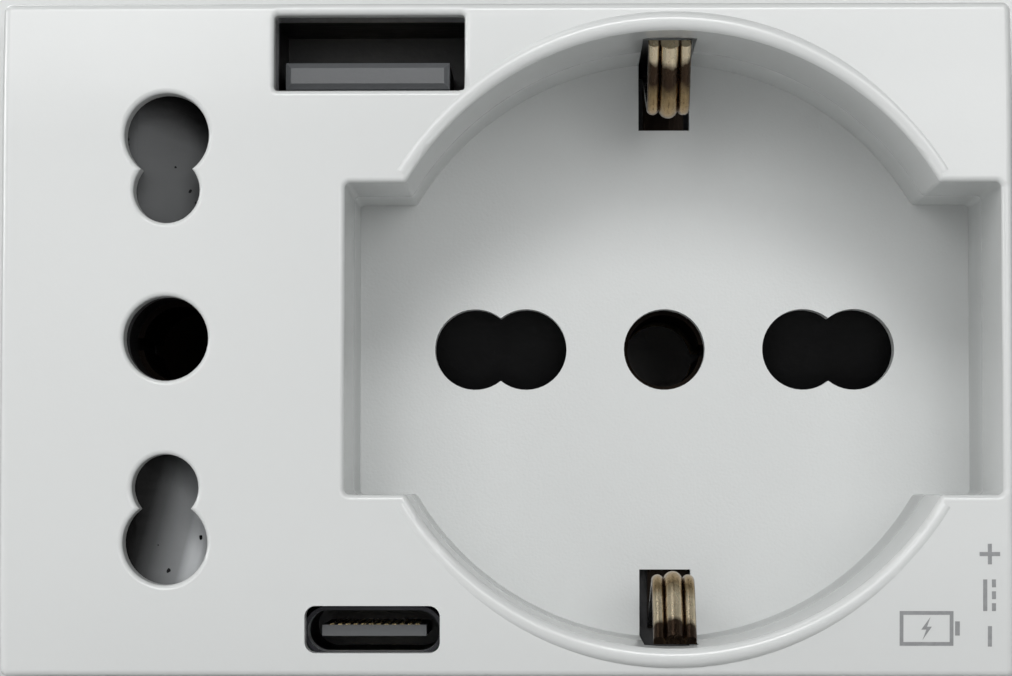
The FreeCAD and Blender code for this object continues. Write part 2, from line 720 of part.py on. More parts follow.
def rear_housing():
    case = Moulding("housing_shell")
    case.pad("case", ("0", "case_depth"), centred_loop("case_width / 2", "case_height / 2"))
    case.round_edges("case_corners", "case_corner", along_y)
    inside = centred_loop("case_width / 2 - case_wall", "case_half_inner")
    case.pocket("inside", ("0", "case_inner"), inside)
    bosses = [round_loop(x, f"{sign}post_z", "boss_radius") for x, sign in corner_places()]
    case.pad("bosses", ("post_end", "case_inner"), *bosses)
    bores = [round_loop(x, f"{sign}post_z", "bolt_bore") for x, sign in corner_places()]
    case.pocket("bolt_bores", ("post_end", "case_depth"), *bores)
    sinks = [round_loop(x, f"{sign}post_z", "bolt_head + bolt_play") for x, sign in corner_places()]
    case.pocket("bolt_sinks", ("case_depth - bolt_sink", "case_depth"), *sinks)
    case.pad("ribs", ("link_back", "case_inner"), *housing_ribs())
    wires = [round_loop(x, "wire_z", "wire_radius") for x in terminal_places()]
    case.pocket("wire_entries", ("case_inner", "case_depth"), *wires)
    access = [round_loop(x, "screw_y", "access_radius") for x in terminal_places()]
    case.upright_pocket("driver_holes", ("-case_height / 2 - 1", "-case_half_inner"), *access)
    teeth = [snap_tooth(f"{name}_tooth", x, side) for name, x, side in TEETH]
    return node(fuse("rear_housing", case.body, *teeth), "rear_housing")


TEETH = (
    ("upper_left", "-tooth_x", 1),
    ("upper_right", "tooth_x", 1),
    ("lower_left", "-tooth_x", -1),
    ("lower_right", "tooth_x", -1),
)


def terminal_places():
    return ("well_x - live_x", "well_x", "well_x + live_x")


def housing_ribs():
    """Ribs that press the link bars against the block's lid."""
    low, high = "earth_link_low + rib_thick", "earth_link_high - rib_thick"
    rib = box_loop(("left_block_right", "well_x"), (low, high))
    mark = box_loop(around("well_x", "live_x"),
                    ("neutral_link_low + rib_thick / 2", "neutral_link_high - rib_thick / 2"))
    return rib, mark


def snap_tooth(name, x, side):
    """A wedge that lets the support frame slide on from behind and then holds it."""
    root, flush, top = "case_height / 2 - case_wall / 2", "case_height / 2", "case_height / 2 + tooth_rise"
    y = ("tooth_start", "tooth_start + tooth_length")
    across = around(x, "tooth_width / 2")
    square, sloped = (root, top), (root, flush)
    if side < 0:
        square, sloped = mirrored(square), mirrored(sloped)
    return wedge(name, y, (across, square), (across, sloped))


# Blocks that hold the contacts, with the shutters' rooms in their fronts


def left_contact_block():
    block = Moulding("left_block_body")
    half = ("-left_block_half", "left_block_half")
    block.pad("wide_front", ("face_back", "left_web_back"),
              box_loop(("left_block_left", "left_block_inner"), half))
    arm = box_loop(("left_block_inner", "left_block_right"), ("-left_arm_half", "left_arm_half"))
    block.pad("front_arm", ("face_back", "left_web_back"), arm)
    rear = box_loop(("left_rear_left", "left_rear_right"), half)
    block.pad("rear", ("left_web_back", "left_block_back"), rear)
    room_x = ("left_x - left_flap_half - left_travel - room_play", "left_x + left_flap_half + room_play")
    high = "left_flap_high + room_play / 2"
    block.pocket("flap_room", ("face_back", "left_room_back"), box_loop(room_x, (f"-({high})", high)))
    bar_x = ("left_x", "left_bar_x + left_bar_width + room_play")
    arm_high = "left_arm_high + room_play"
    block.pocket("bar_room", ("face_back", "left_room_back"), box_loop(bar_x, (f"-({arm_high})", arm_high)))
    large = [round_loop("left_x", z, "left_hole + web_play") for z in ("-far_pitch", "0", "far_pitch")]
    small = [round_loop("left_x", z, "left_small_hole + web_play") for z in ("-near_pitch", "near_pitch")]
    web = ("left_room_back", "left_web_back")
    block.pocket("web_holes", web, *large)
    block.pocket("small_web_holes", web, *small)
    room = "sleeve_wall + room_play"
    chambers = [round_loop("left_x", z, f"large_pin + {room}") for z in ("-far_pitch", "0", "far_pitch")]
    narrow = [round_loop("left_x", z, f"small_pin + {room}") for z in ("-near_pitch", "near_pitch")]
    block.pocket("chambers", ("left_web_back", "left_block_back"), *chambers)
    block.pocket("small_chambers", ("left_web_back", "left_block_back"), *narrow)
    seats = []
    for low, top in left_plate_heights():
        seats.append(box_loop((f"{LEFT_PLATE_LEFT} - room_play", "left_rear_right + 1"),
                              (f"{low} - room_play", f"{top} + room_play")))
    block.pocket("plate_seats", ("left_block_back - sheet", "left_block_back"), *seats)
    return node(block.body, "left_contact_block")


LEFT_PLATE_LEFT = "left_x - large_pin - sleeve_wall"


def left_plate_heights():
    """Ranges of height of the three plates: live, earth and neutral."""
    low, high = "near_pitch - small_pin - sleeve_wall", "far_pitch + large_pin + sleeve_wall"
    around_pin = "large_pin + sleeve_wall"
    return ((low, high), (f"-({around_pin})", around_pin), (f"-({high})", f"-({low})"))


def left_block_lid():
    lid = Moulding("left_lid_body")
    sides = ("left_rear_left", "left_rear_right")
    lid.pad("plate", ("left_block_back", "left_lid_back"), box_loop(sides, both_ways("left_lid_half")))
    pillars = [
        round_loop(x, f"{sign}(left_lid_half - 2 * pillar_radius)", "pillar_radius")
        for x in ("left_rear_left + 2 * pillar_radius", "left_rear_right - 2 * pillar_radius")
        for sign in ("", "-")
    ]
    lid.pad("pillars", ("left_lid_back", "power_front"), *pillars)
    return node(lid.body, "left_block_lid")


def right_contact_block():
    block = Moulding("right_block_body")
    wide = box_loop(around("well_x", "right_block_half"), ("right_block_split", "right_block_top"))
    block.pad("upper", ("floor_back", "right_block_back"), wide)
    foot = box_loop(around("well_x", "right_foot_half"), ("right_foot_low", "right_block_split"))
    block.pad("foot", ("floor_back", "right_block_back"), foot)
    tower = box_loop(around("well_x", "spring_room + tower_wall"),
                     ("right_block_top", "spring_right_top + 1"))
    block.pad("spring_tower", ("floor_back", "right_room_back + 1"), tower)
    groove = box_loop(around("well_x", "clip_width / 2 + room_play + lower_clip_shift"),
                      ("right_foot_low", "spring_right_top + 1"))
    block.pocket("yoke_groove", ("floor_back", "floor_back + yoke_thick + room_play"), groove)
    ring = round_loop("well_x", "0", "yoke_ring + room_play")
    block.pocket("ring_groove", ("floor_back", "floor_back + yoke_thick + room_play"), ring)
    low = "-(right_flap_half + right_play)"
    high = "right_bridge_high + right_travel + right_play"
    room = box_loop(around("well_x", "right_flap_out + right_play"), (low, high))
    block.pocket("shutter_room", ("floor_back", "right_room_back"), room)
    spring = box_loop(around("well_x", "spring_room"), ("right_bridge_high", "spring_right_top"))
    block.pocket("spring_slot", ("floor_back", "right_room_back"), spring)
    web = ("right_room_back", "right_web_back")
    near_places, far_places = ("(-near_pitch)", "near_pitch"), ("(-far_pitch)", "far_pitch")
    near_holes = [round_loop(f"well_x + {x}", "0", "right_hole + web_play") for x in near_places]
    far_holes = [round_loop(f"well_x + {x}", "0", "right_hole + web_play") for x in far_places]
    block.pocket("web_holes", web, *near_holes)
    block.pocket("far_web_holes", web, *far_holes)
    earth = round_loop("well_x", "0", "large_pin + sleeve_wall + room_play")
    block.pocket("earth_bore", web, earth)
    cut_contact_rooms(block)
    return node(block.body, "right_contact_block")


def cut_contact_rooms(block):
    """Rooms that are open to the back, so that the contacts slide in from there."""
    depth = ("right_web_back", "right_block_back")
    plate = ("-(near_plate + room_play)", "near_plate + room_play")
    for name, sign in (("line", -1), ("neutral", 1)):
        middle = f"well_x + {sign} * live_x"
        block.pocket(f"{name}_room", depth, box_loop(around(middle, "plate_half + room_play"), plate))
    block.pocket("earth_room", depth, box_loop(around("well_x", "near_plate"),
                                               ("-near_plate", "near_plate + sheet + room_play")))
    drops = [
        box_loop(around(x, "tail_half + room_play"), ("tongue_top - sheet - room_play", "0"))
        for x in terminal_places()
    ]
    block.pocket("drop_slots", depth, *drops)
    cages = [
        box_loop(around(x, "cage_half + room_play"), ("right_foot_low - 1", "cage_top + room_play"))
        for x in terminal_places()
    ]
    block.pocket("cage_rooms", ("cage_front - 1", "right_block_back"), *cages)
    arm = box_loop(
        ("well_x - right_block_half - 1", "well_x - live_x"),
        ("tail_z - tail_half - room_play", "tail_z + tail_half + room_play"),
    )
    block.pocket("line_arm_slot", depth, arm)
    rise = box_loop(
        ("line_arm_left - room_play", "line_arm_left + 2 * tail_half + room_play"), ("0", "tail_z")
    )
    block.pocket("line_rise_slot", depth, rise)
    tail = box_loop(
        around("well_x + live_x", "tail_half + room_play"), ("neutral_tail_z - room_play", "0")
    )
    block.pocket("neutral_tail_slot", depth, tail)


def right_block_lid():
    lid = Moulding("right_lid_body")
    wide = box_loop(around("well_x", "right_block_half"), ("right_lid_low", "right_block_top"))
    lid.pad("plate", ("right_block_back", "link_front"), wide)
    earth = box_loop(around("well_x", "tail_half + room_play"),
                     ("earth_tail_z - room_play", "earth_tail_z + sheet + room_play"))
    neutral = box_loop(
        around("well_x + live_x", "tail_half + room_play"),
        ("neutral_tail_z - room_play", "neutral_tail_z + sheet + room_play"),
    )
    lid.pocket("tail_slots", ("right_block_back", "link_front"), earth, neutral)
    return node(lid.body, "right_block_lid")


# Shutters and their springs


def ramp_flap(name, x, z, y, land):
    """A flap with a sloped front. A pin that meets the slope pushes it aside, towards its land."""
    ramp = wedge(f"{name}_ramp", (y[0], f"{y[0]} + ramp_drop"), land, (x, z))
    back = slab(f"{name}_back", x, (f"{y[0]} + ramp_drop", y[1]), z)
    return fuse(f"{name}_flap", ramp, back)


def left_shutter():
    y = ("face_back + shutter_play", "left_room_back - shutter_play")
    x = around("left_x", "left_flap_half")
    bar = ("left_bar_x", "left_bar_x + left_bar_width")
    high = ("left_flap_low", "left_flap_high")
    land = (x[0], f"{x[0]} + ramp_land")
    upper = ramp_flap("left_upper", x, high, y, (land, high))
    lower = ramp_flap("left_lower", x, mirrored(high), y, (land, mirrored(high)))
    thin = (f"{y[0]} + ramp_drop", y[1])
    reach = (x[1], bar[1])
    arms = [
        slab("left_upper_arm", reach, thin, ("left_flap_low", "left_arm_high")),
        slab("left_lower_arm", reach, thin, ("-left_arm_high", "-left_flap_low")),
    ]
    joining = slab("left_bar", bar, y, ("-left_arm_high", "left_arm_high"))
    return node(fuse("left_shutter", upper, lower, joining, *arms), "left_shutter")


def right_shutter():
    y = ("floor_back + yoke_thick + right_play", "right_room_back - right_play")
    z = ("-right_flap_half", "right_bridge_low")
    land = (f"{z[1]} - ramp_land", z[1])
    line = ("well_x - right_flap_out", "well_x - right_flap_in")
    neutral = ("well_x + right_flap_in", "well_x + right_flap_out")
    flaps = [
        ramp_flap("right_line", line, z, y, (line, land)),
        ramp_flap("right_neutral", neutral, z, y, (neutral, land)),
    ]
    across = around("well_x", "right_flap_out")
    bridge = slab("right_bridge", across, y, ("right_bridge_low", "right_bridge_high"))
    return node(fuse("right_shutter", bridge, *flaps), "right_shutter")


def coil_spring(label, start, axis, length, radius):
    """A compression spring of round wire."""
    wire = size("spring_wire")
    turns = size("spring_turns")
    helix = Part.makeHelix((length - 2 * wire) / turns, length - 2 * wire, radius)
    ring = Part.Wire(Part.makeCircle(wire, Vector(radius, 0, 0), Vector(0, 1, 0)))
    coil = Part.Wire(helix).makePipeShell([ring], True, True)
    turn = Rotation(Vector(0, 0, 1), axis)
    return node(made(label, coil, Placement(start + axis * wire, turn)), label)


def springs():
    room = size("left_x") - size("left_flap_half") - size("left_travel") - size("room_play")
    middle = (size("face_back") + size("left_room_back")) / 2
    length = size("left_bar_x") - room - size("spring_seat")
    for label, sign in (("left_upper_spring", 1), ("left_lower_spring", -1)):
        start = Vector(room, middle, sign * size("spring_left_z"))
        coil_spring(label, start, Vector(1, 0, 0), length, size("spring_left_radius"))
    front = size("floor_back") + size("yoke_thick") + size("right_play")
    middle = (front + size("right_room_back")) / 2
    length = size("spring_right_top") - size("right_bridge_high") - size("spring_seat")
    start = Vector(size("well_x"), middle, size("spring_right_top"))
    coil_spring("right_spring", start, Vector(0, 0, -1), length, size("spring_right_radius"))


# Contacts: folded strip with rolled sleeves


def sleeves(name, spots, y):
    """Sleeves that run into each other. A spot is a place and the radius of its pin."""
    outer = fuse(f"{name}_outer", *(rod(f"{name}_out", f"{r} + sleeve_wall", x, y, z) for x, z, r in spots))
    through = (f"{y[0]} - 1", f"{y[1]} + 1")
    inner = fuse(f"{name}_inner", *(rod(f"{name}_in", r, x, through, z) for x, z, r in spots))
    return outer, inner


def left_contact(label, sign):
    """A live contact of the left socket, with its plate at the back and a tail to its riser."""
    spots = [("left_x", f"{sign} * near_pitch", "small_pin"),
             ("left_x", f"{sign} * far_pitch", "large_pin")]
    plate_y = ("left_block_back - sheet", "left_block_back")
    outer, inner = sleeves(label, spots, ("left_sleeve_front", plate_y[0]))
    low, high = left_plate_heights()[0 if sign > 0 else 2]
    plate = slab(f"{label}_plate", (LEFT_PLATE_LEFT, "left_x + large_pin + sleeve_wall"), plate_y,
                 (low, high))
    tail_z = (f"{sign} * tail_z - tail_half", f"{sign} * tail_z + tail_half")
    tail = slab(f"{label}_tail", ("left_x", "riser_x + sheet"), plate_y, tail_z)
    slit_z = (f"{sign} * far_pitch - sleeve_slit / 2", f"{sign} * far_pitch + sleeve_slit / 2")
    slit = slab(f"{label}_slit", (f"{LEFT_PLATE_LEFT} - 1", "left_x"),
                ("left_sleeve_front - 1", plate_y[0]), slit_z)
    riser_end = "right_web_back" if sign > 0 else "link_front"
    riser = slab(f"{label}_riser", ("riser_x", "riser_x + sheet"), ("left_block_back", riser_end), tail_z)
    cups = cut(f"{label}_cups", outer, inner, slit)
    return node(fuse(label, cups, plate, tail, riser), label)


def left_earth_contact():
    label = "left_earth_contact"
    plate_y = ("left_block_back - sheet", "left_block_back")
    outer = rod("left_earth_out", "large_pin + sleeve_wall", "left_x",
                ("left_sleeve_front", plate_y[0]), "0")
    inner = rod("left_earth_in", "large_pin", "left_x", ("left_sleeve_front - 1", plate_y[0]), "0")
    slit = slab("left_earth_slit", (f"{LEFT_PLATE_LEFT} - 1", "left_x"),
                ("left_sleeve_front - 1", plate_y[0]), ("-sleeve_slit / 2", "sleeve_slit / 2"))
    low, high = left_plate_heights()[1]
    plate = slab("left_earth_plate", (LEFT_PLATE_LEFT, "left_x + large_pin + sleeve_wall"), plate_y,
                 (low, high))
    tail_z = ("-tail_half", "tail_half")
    tail = slab("left_earth_tail", ("left_x", "riser_x + sheet"), plate_y, tail_z)
    riser = slab("left_earth_riser", ("riser_x", "riser_x + sheet"),
                 ("left_block_back", "link_front"), tail_z)
    cups = cut("left_earth_cup", outer, inner, slit)
    return node(fuse(label, cups, plate, tail, riser), label)


def terminal_strip(name, x):
    """The strip below a right contact: a drop and the tongue that a wire is clamped on."""
    across = around(x, "tail_half")
    fold = ("tongue_top - sheet", "0")
    drop = slab(f"{name}_drop", across, ("right_web_back", "right_web_back + sheet"), fold)
    tongue = slab(f"{name}_tongue", across, ("right_web_back", "cage_front + cage_length + 1"),
                  ("tongue_top - sheet", "tongue_top"))
    return drop, tongue


def right_live_contact(label, sign):
    """A live contact of the right socket, for both pin spacings."""
    middle = f"well_x + {sign} * live_x"
    spots = [
        (f"well_x + {sign} * near_pitch", "0", "middle_pin"),
        (f"well_x + {sign} * far_pitch", "0", "large_pin"),
    ]
    outer, inner = sleeves(label, spots, ("right_web_back", "right_sleeve_back"))
    plate_y = ("right_web_back", "right_web_back + sheet")
    plate = slab(f"{label}_plate", around(middle, "plate_half"), plate_y, ("-near_plate", "near_plate"))
    slit = slab(f"{label}_slit", around(middle, "sleeve_slit / 2"),
                (f"{plate_y[1]}", "right_sleeve_back + 1"), ("0", "near_plate"))
    extra = []
    if sign < 0:
        extra.append(slab(f"{label}_rise", ("line_arm_left", "line_arm_left + 2 * tail_half"),
                          plate_y, ("near_plate", "tail_z + tail_half")))
        extra.append(slab(f"{label}_arm", ("riser_x", "line_arm_left + tail_half"), plate_y,
                          around("tail_z", "tail_half")))
    else:
        extra.append(slab(f"{label}_tail", around(middle, "tail_half"),
                          ("right_web_back", "link_front"), ("neutral_tail_z", "neutral_tail_z + sheet")))
    drop, tongue = terminal_strip(label, middle)
    whole = fuse(f"{label}_whole", outer, plate, drop)
    cups = cut(f"{label}_cups", whole, inner, slit)
    return node(fuse(label, cups, tongue, *extra), label)


def right_earth_contact():
    label = "right_earth_contact"
    front = "floor_back + yoke_thick"
    outer = rod("earth_out", "large_pin + sleeve_wall", "well_x", (front, "right_sleeve_back"), "0")
    inner = rod("earth_in", "large_pin", "well_x", (f"{front} - 1", "right_sleeve_back + 1"), "0")
    slit = slab("earth_slit", ("well_x + large_pin / 2", "well_x + near_plate"),
                (f"{front} - 1", "right_sleeve_back + 1"), ("-sleeve_slit / 2", "sleeve_slit / 2"))
    drop, tongue = terminal_strip("earth", "well_x")
    tail = slab("earth_tail", around("well_x", "tail_half"), ("cage_front", "link_front"),
                ("earth_tail_z", "earth_tail_z + sheet"))
    seat = slab("earth_seat", around("well_x", "tail_half"), ("cage_front", "right_sleeve_back"),
                ("large_pin", "earth_tail_z + sheet"))
    whole = fuse("earth_whole", outer, drop, seat)
    cups = cut("earth_cups", whole, inner, slit)
    return node(fuse(label, cups, tongue, tail), label)


def links():
    y = ("link_front", "link_back")
    earth = slab("earth_link", ("riser_x", "well_x + tail_half"), y, ("earth_link_low", "earth_link_high"))
    bar = slab("neutral_bar", ("riser_x", "well_x + live_x + tail_half"), y,
               ("neutral_link_low", "neutral_link_high"))
    leg = slab("neutral_leg", ("riser_x", "neutral_leg_right"), y,
               ("-(tail_z + tail_half)", "neutral_link_high"))
    node(earth, "earth_link")
    node(fuse("neutral_link", bar, leg), "neutral_link")


# Earth yoke: one strip behind the floor that ends in the two ribbed side clips


def rounded_path(points, radius):
    """Straight runs joined by tangent arcs, as one wire."""
    edges, start = [], points[0]
    for before, corner, after in zip(points, points[1:], points[2:]):
        inward, outward = (before - corner).normalize(), (after - corner).normalize()
        half = inward.getAngle(outward) / 2
        reach = radius / math.tan(half)
        middle = corner + (inward + outward).normalize() * (radius / math.sin(half) - radius)
        first, last = corner + inward * reach, corner + outward * reach
        edges += [Part.LineSegment(start, first).toShape(), Part.Arc(first, middle, last).toShape()]
        start = last
    edges.append(Part.LineSegment(start, points[-1]).toShape())
    return Part.Wire(edges)


def clip_outline():
    """Section of the strip with its three ribs, across X and towards the pins along Y."""
    half, rib, thick = size("clip_width") / 2, size("clip_rib_half"), size("clip_thick")
    high, side = size("clip_rib"), size("clip_side_rib")
    middle = (half + rib) / 2
    marks = [(-half, 0), (-middle, side), (-rib, 0), (0, high), (rib, 0), (middle, side), (half, 0)]
    tops = [Vector(x, 0, z) for x, z in marks]
    edges = [Part.Arc(*tops[n:n + 3]).toShape() for n in (0, 2, 4)]
    low = [Vector(half, 0, 0), Vector(half, 0, -thick), Vector(-half, 0, -thick), Vector(-half, 0, 0)]
    edges += [Part.LineSegment(a, b).toShape() for a, b in zip(low, low[1:])]
    return Part.Wire(Part.__sortEdges__(edges))


def side_clip(side, shift):
    """The bent, ribbed end of the yoke. It is made for the upper slot and turned for the lower one."""
    x = size("well_x")
    start = size("floor_back") + size("yoke_thick") / 2
    tip = size("face_front") + size("slot_front") + size("clip_gap")
    foot = Vector(0, start, size("clip_foot"))
    corner = Vector(0, size("clip_corner_y"), size("clip_corner"))
    path = rounded_path([foot, corner, Vector(0, tip, size("clip_tip"))], size("clip_bend"))
    along = (corner - foot).normalize()
    section = clip_outline()
    turned = Rotation(Vector(0, 1, 0), 180)
    section.Placement = Placement(foot, Rotation(Vector(0, -1, 0), along).multiply(turned))
    clip = path.makePipeShell([section], True, False)
    turn = Rotation(Vector(0, 1, 0), 0 if side > 0 else 180)
    clip.Placement = Placement(Vector(x + shift, 0, 0), turn)
    return clip


def earth_yoke():
    x, half, thick = size("well_x"), size("clip_width") / 2, size("yoke_thick")
    back, foot = size("floor_back"), size("clip_foot") + size("clip_thick")
    shift = size("lower_clip_shift")
    strip = Part.makeBox(2 * half, thick, foot, Vector(x - half, back, 0))
    lower = Part.makeBox(2 * half, thick, foot, Vector(x - half + shift, back, -foot))
    ring = Part.makeCylinder(size("yoke_ring"), thick, Vector(x, back, 0), Vector(0, 1, 0))
    hole = Part.makeCylinder(size("right_hole"), thick + 2, Vector(x, back - 1, 0), Vector(0, 1, 0))
    flat = strip.multiFuse([lower, ring]).cut(hole)
    whole = flat.multiFuse([side_clip(1, 0), side_clip(-1, shift)]).removeSplitter()
    return node(made("earth_yoke", whole.Solids[0]), "earth_yoke")


# Terminals: a captive screw whose cage rises or falls on its thread


def terminal(name, x):
    y = ("cage_front", "cage_front + cage_length")
    block = slab(f"{name}_block", around(x, "cage_half"), y, ("cage_low", "cage_top"))
    through = ("cage_front - 1", "cage_front + cage_length + 1")
    inside = ("cage_low + cage_nut", "cage_top - cage_roof")
    room = slab(f"{name}_wire_room", around(x, "cage_half - cage_side"), through, inside)
    depth = ("cage_low - 1", "cage_low + cage_nut + 1")
    thread = rod(f"{name}_thread", "screw_core + screw_play", x, "screw_y", depth)
    node(cut(f"{name}_cage", block, room, thread), f"{name}_terminal_cage")
    shank_z = ("head_low + head_high", "tongue_top - sheet - screw_play")
    shank = rod(f"{name}_shank", "screw_core", x, "screw_y", shank_z)
    head = rod(f"{name}_head", "screw_head", x, "screw_y", ("head_low", "head_low + head_high"))
    groove = around("screw_y", "slot_wide / 2")
    slot = slab(f"{name}_slot", around(x, "screw_head + 1"), groove,
                ("head_low - 1", "head_low + slot_deep"))
    node(cut(f"{name}_screw", fuse(f"{name}_blank", shank, head), slot), f"{name}_terminal_screw")


# Charging ports and boards


def usb_a_port():
    x, z, y = "port_a_x", "port_a_z", ("face_back", "port_board_y")
    half_width, half_height = "port_a_width / 2", "port_a_height / 2"
    shell_x, shell_z = f"{half_width} + port_a_sheet", f"{half_height} + port_a_sheet"
    outer = slab("shell_a_out", around(x, shell_x), y, around(z, shell_z))
    through = ("face_back - 1", "port_board_y + 1")
    inner = slab("shell_a_in", around(x, half_width), through, around(z, half_height))
    node(cut("usb_a_shell", outer, inner), "usb_a_shell")
    root = "port_board_y - insulator_base"
    base = slab("tongue_a_base", around(x, half_width), (root, "port_board_y"), around(z, half_height))
    middle, front = f"{x} - tongue_a_shift", "face_back + tongue_a_recess"
    low = "shell_a_bottom + tongue_a_lift"
    high = f"{low} + tongue_a_thick"
    tip = f"{front} + tongue_bevel"
    wide = around(middle, "tongue_a_width / 2")
    narrow = around(middle, "tongue_a_width / 2 - tongue_bevel")
    nose = wedge("tongue_a_nose", (front, tip),
                 (narrow, (f"{low} + tongue_bevel", f"{high} - tongue_bevel")), (wide, (low, high)))
    tongue = slab("tongue_a", wide, (tip, root), (low, high))
    strips = []
    for n in (-1.5, -0.5, 0.5, 1.5):
        place_x = around(f"{middle} + {n} * strip_a_pitch", "strip_a_width / 2")
        strip_z = (f"{high} + strip_proud - strip_a_thick", f"{high} + strip_proud")
        strips.append(slab("strip_a", place_x, (f"{front} + strip_a_recess", root), strip_z))
    contacts = node(fuse("usb_a_contacts", *strips), "usb_a_contacts")
    whole = fuse("insulator_a_whole", base, nose, tongue)
    node(cut("usb_a_insulator", whole, contacts), "usb_a_insulator")


def stadium(name, width, height, x, y, z):
    """A bar with full round ends along Y."""
    half = f"{height} / 2"
    reach = f"({width} - {height}) / 2"
    middle = slab(f"{name}_middle", around(x, reach), y, around(z, half))
    ends = [rod(f"{name}_end", half, f"{x} {sign} {reach}", y, z) for sign in "-+"]
    return fuse(name, middle, *ends)


def usb_c_port():
    x, z, y = "port_c_x", "shell_c_z", ("face_back", "port_board_y")
    outer = stadium("shell_c_out", "shell_c_width", "shell_c_height", x, y, z)
    width, height = "(shell_c_width - 2 * shell_c_wall)", "(shell_c_height - 2 * shell_c_wall)"
    inner = stadium("shell_c_in", width, height, x, ("face_back - 1", "port_board_y + 1"), z)
    node(cut("usb_c_shell", outer, inner), "usb_c_shell")
    root, front = "port_board_y - insulator_base", "face_back + tongue_c_recess"
    base = stadium("tongue_c_base", width, height, x, (root, "port_board_y"), z)
    half = "tongue_c_thick / 2"
    tongue = slab("tongue_c", around(x, "tongue_c_width / 2"), (front, root), around(z, half))
    strips = []
    strip_y = (f"{front} + strip_c_recess", root)
    for n in range(12):
        place_x = around(f"{x} + {n - 5.5} * strip_c_pitch", "strip_c_width / 2")
        top = f"{half} + strip_proud"
        upper = (f"{z} + {top} - strip_c_thick", f"{z} + {top}")
        lower = (f"{z} - ({top})", f"{z} - ({top}) + strip_c_thick")
        strips += [slab("strip_c", place_x, strip_y, upper), slab("strip_c", place_x, strip_y, lower)]
    contacts = node(fuse("usb_c_contacts", *strips), "usb_c_contacts")
    whole = fuse("insulator_c_whole", base, tongue)
    node(cut("usb_c_insulator", whole, contacts), "usb_c_insulator")


def port_board():
    y = ("port_board_y", "port_board_back")
    left = "left_rear_right + room_play"
    blank = slab("port_blank", (left, "port_a_x + port_a_width / 2 + 2 * port_a_sheet"), y,
                 around("0", "case_half_inner - room_play"))
    well = rod("port_well", "tube_radius + room_play", "well_x",
               ("port_board_y - 1", "port_board_back + 1"), "0")
    sides = ("well_x - well_half_width - well_side_wall - room_play", "well_x")
    mouth = slab("port_mouth", sides, ("port_board_y - 1", "port_board_back + 1"),
                 around("0", "well_half_height + well_wall + room_play"))
    return node(cut("port_board", blank, well, mouth), "port_board")


def power_board():
    y = ("power_front", "power_back")
    through = ("power_front - 1", "power_back + 1")
    blank = slab("power_blank", ("power_left", "power_right"), y, ("-power_half", "power_half"))
    notches = [
        slab("power_notch", ("riser_x - notch_play", "power_right + 1"), through,
             around(z, "tail_half + notch_play"))
        for z in ("tail_z", "0", "(-tail_z)")
    ]
    return node(cut("power_board", blank, *notches), "power_board")


def transformer():
    middle_y = "power_back + bobbin_base + coil_depth / 2"
    core_y = around(middle_y, "core_depth / 2")
    through = around(middle_y, "core_depth")
    core_x, core_z = around("core_x", "core_width / 2"), both_ways("core_height / 2")
    window_z = both_ways("core_height / 2 - core_side")
    left = (f"{core_x[0]} + core_side", "core_x - core_leg / 2")
    right = ("core_x + core_leg / 2", f"{core_x[1]} - core_side")
    windows = [slab("core_window", x, through, window_z) for x in (left, right)]
    node(cut("core", slab("core_blank", core_x, core_y, core_z), *windows), "transformer_core")
    coil_x = around("core_x", "core_width / 2 - core_side - coil_play")
    coil_y = ("power_back + bobbin_base", "power_back + bobbin_base + coil_depth")
    cheek_z = ("core_height / 2 - core_side - coil_play - bobbin_wall",
               "core_height / 2 - core_side - coil_play")
    winding = Moulding("winding_block")
    winding.pad("turns", coil_y, box_loop(coil_x, both_ways(cheek_z[0])))
    winding.round_edges("turn_ends", "coil_bend", along_z)
    leg = slab("leg_room", around("core_x", "core_leg / 2"), core_y, both_ways("core_height"))
    node(cut("winding", winding.body, leg), "transformer_winding")
    foot = slab("foot", core_x, ("power_back", coil_y[0]), core_z)
    cheeks = [slab("cheek", coil_x, coil_y, z) for z in (cheek_z, mirrored(cheek_z))]
    leg = slab("leg_room", around("core_x", "core_leg / 2"), core_y, both_ways("core_height"))
    node(cut("bobbin", fuse("bobbin_blank", foot, *cheeks), leg), "transformer_bobbin")


def can(name, radius, x, z, length):
    body = Moulding(name)
    body.pad(f"{name}_can", ("power_back", f"power_back + {length}"), round_loop(x, z, radius))
    body.round_edges(f"{name}_end", "can_edge",
                     lambda edge: on_plane(edge, size("power_back") + size(length)))
    return body.body


def components():
    node(can("input_can_body", "input_can", "input_x", "input_z", "input_long"), "input_capacitor")
    first = can("output_can_one", "output_can", "output_x", "output_z", "output_long")
    second = can("output_can_two", "output_can", "output_x + output_pitch", "output_z", "output_long")
    node(fuse("output_capacitors", first, second), "output_capacitors")
    rectifier = slab("rectifier", ("bridge_x", "bridge_x + bridge_wide"),
                     ("power_back", "power_back + bridge_deep"), ("bridge_low", "bridge_low + bridge_high"))
    node(rectifier, "rectifier")
    chip = slab("charge_controller", ("chip_x", "chip_x + chip_side"),
                ("power_back", "power_back + chip_deep"), ("chip_low", "chip_low + chip_side"))
    node(chip, "charge_controller")
    base = slab("header_block", ("header_x", "header_x + header_wide"),
                ("port_board_back", "port_board_back + header_base"), ("header_low", "header_high"))
    node(base, "link_header")
    middle = "(header_low + header_high) / 2"
    pins = []
    for n in (-1, 0, 1):
        pin_x = around("header_x + header_wide / 2", "header_pin / 2")
        pin_y = ("port_board_back + header_base", "power_front")
        pins.append(slab("header_pins", pin_x, pin_y,
                         around(f"{middle} + {n} * header_pitch", "header_pin / 2")))
    node(fuse("link_pins", *pins), "link_pins")


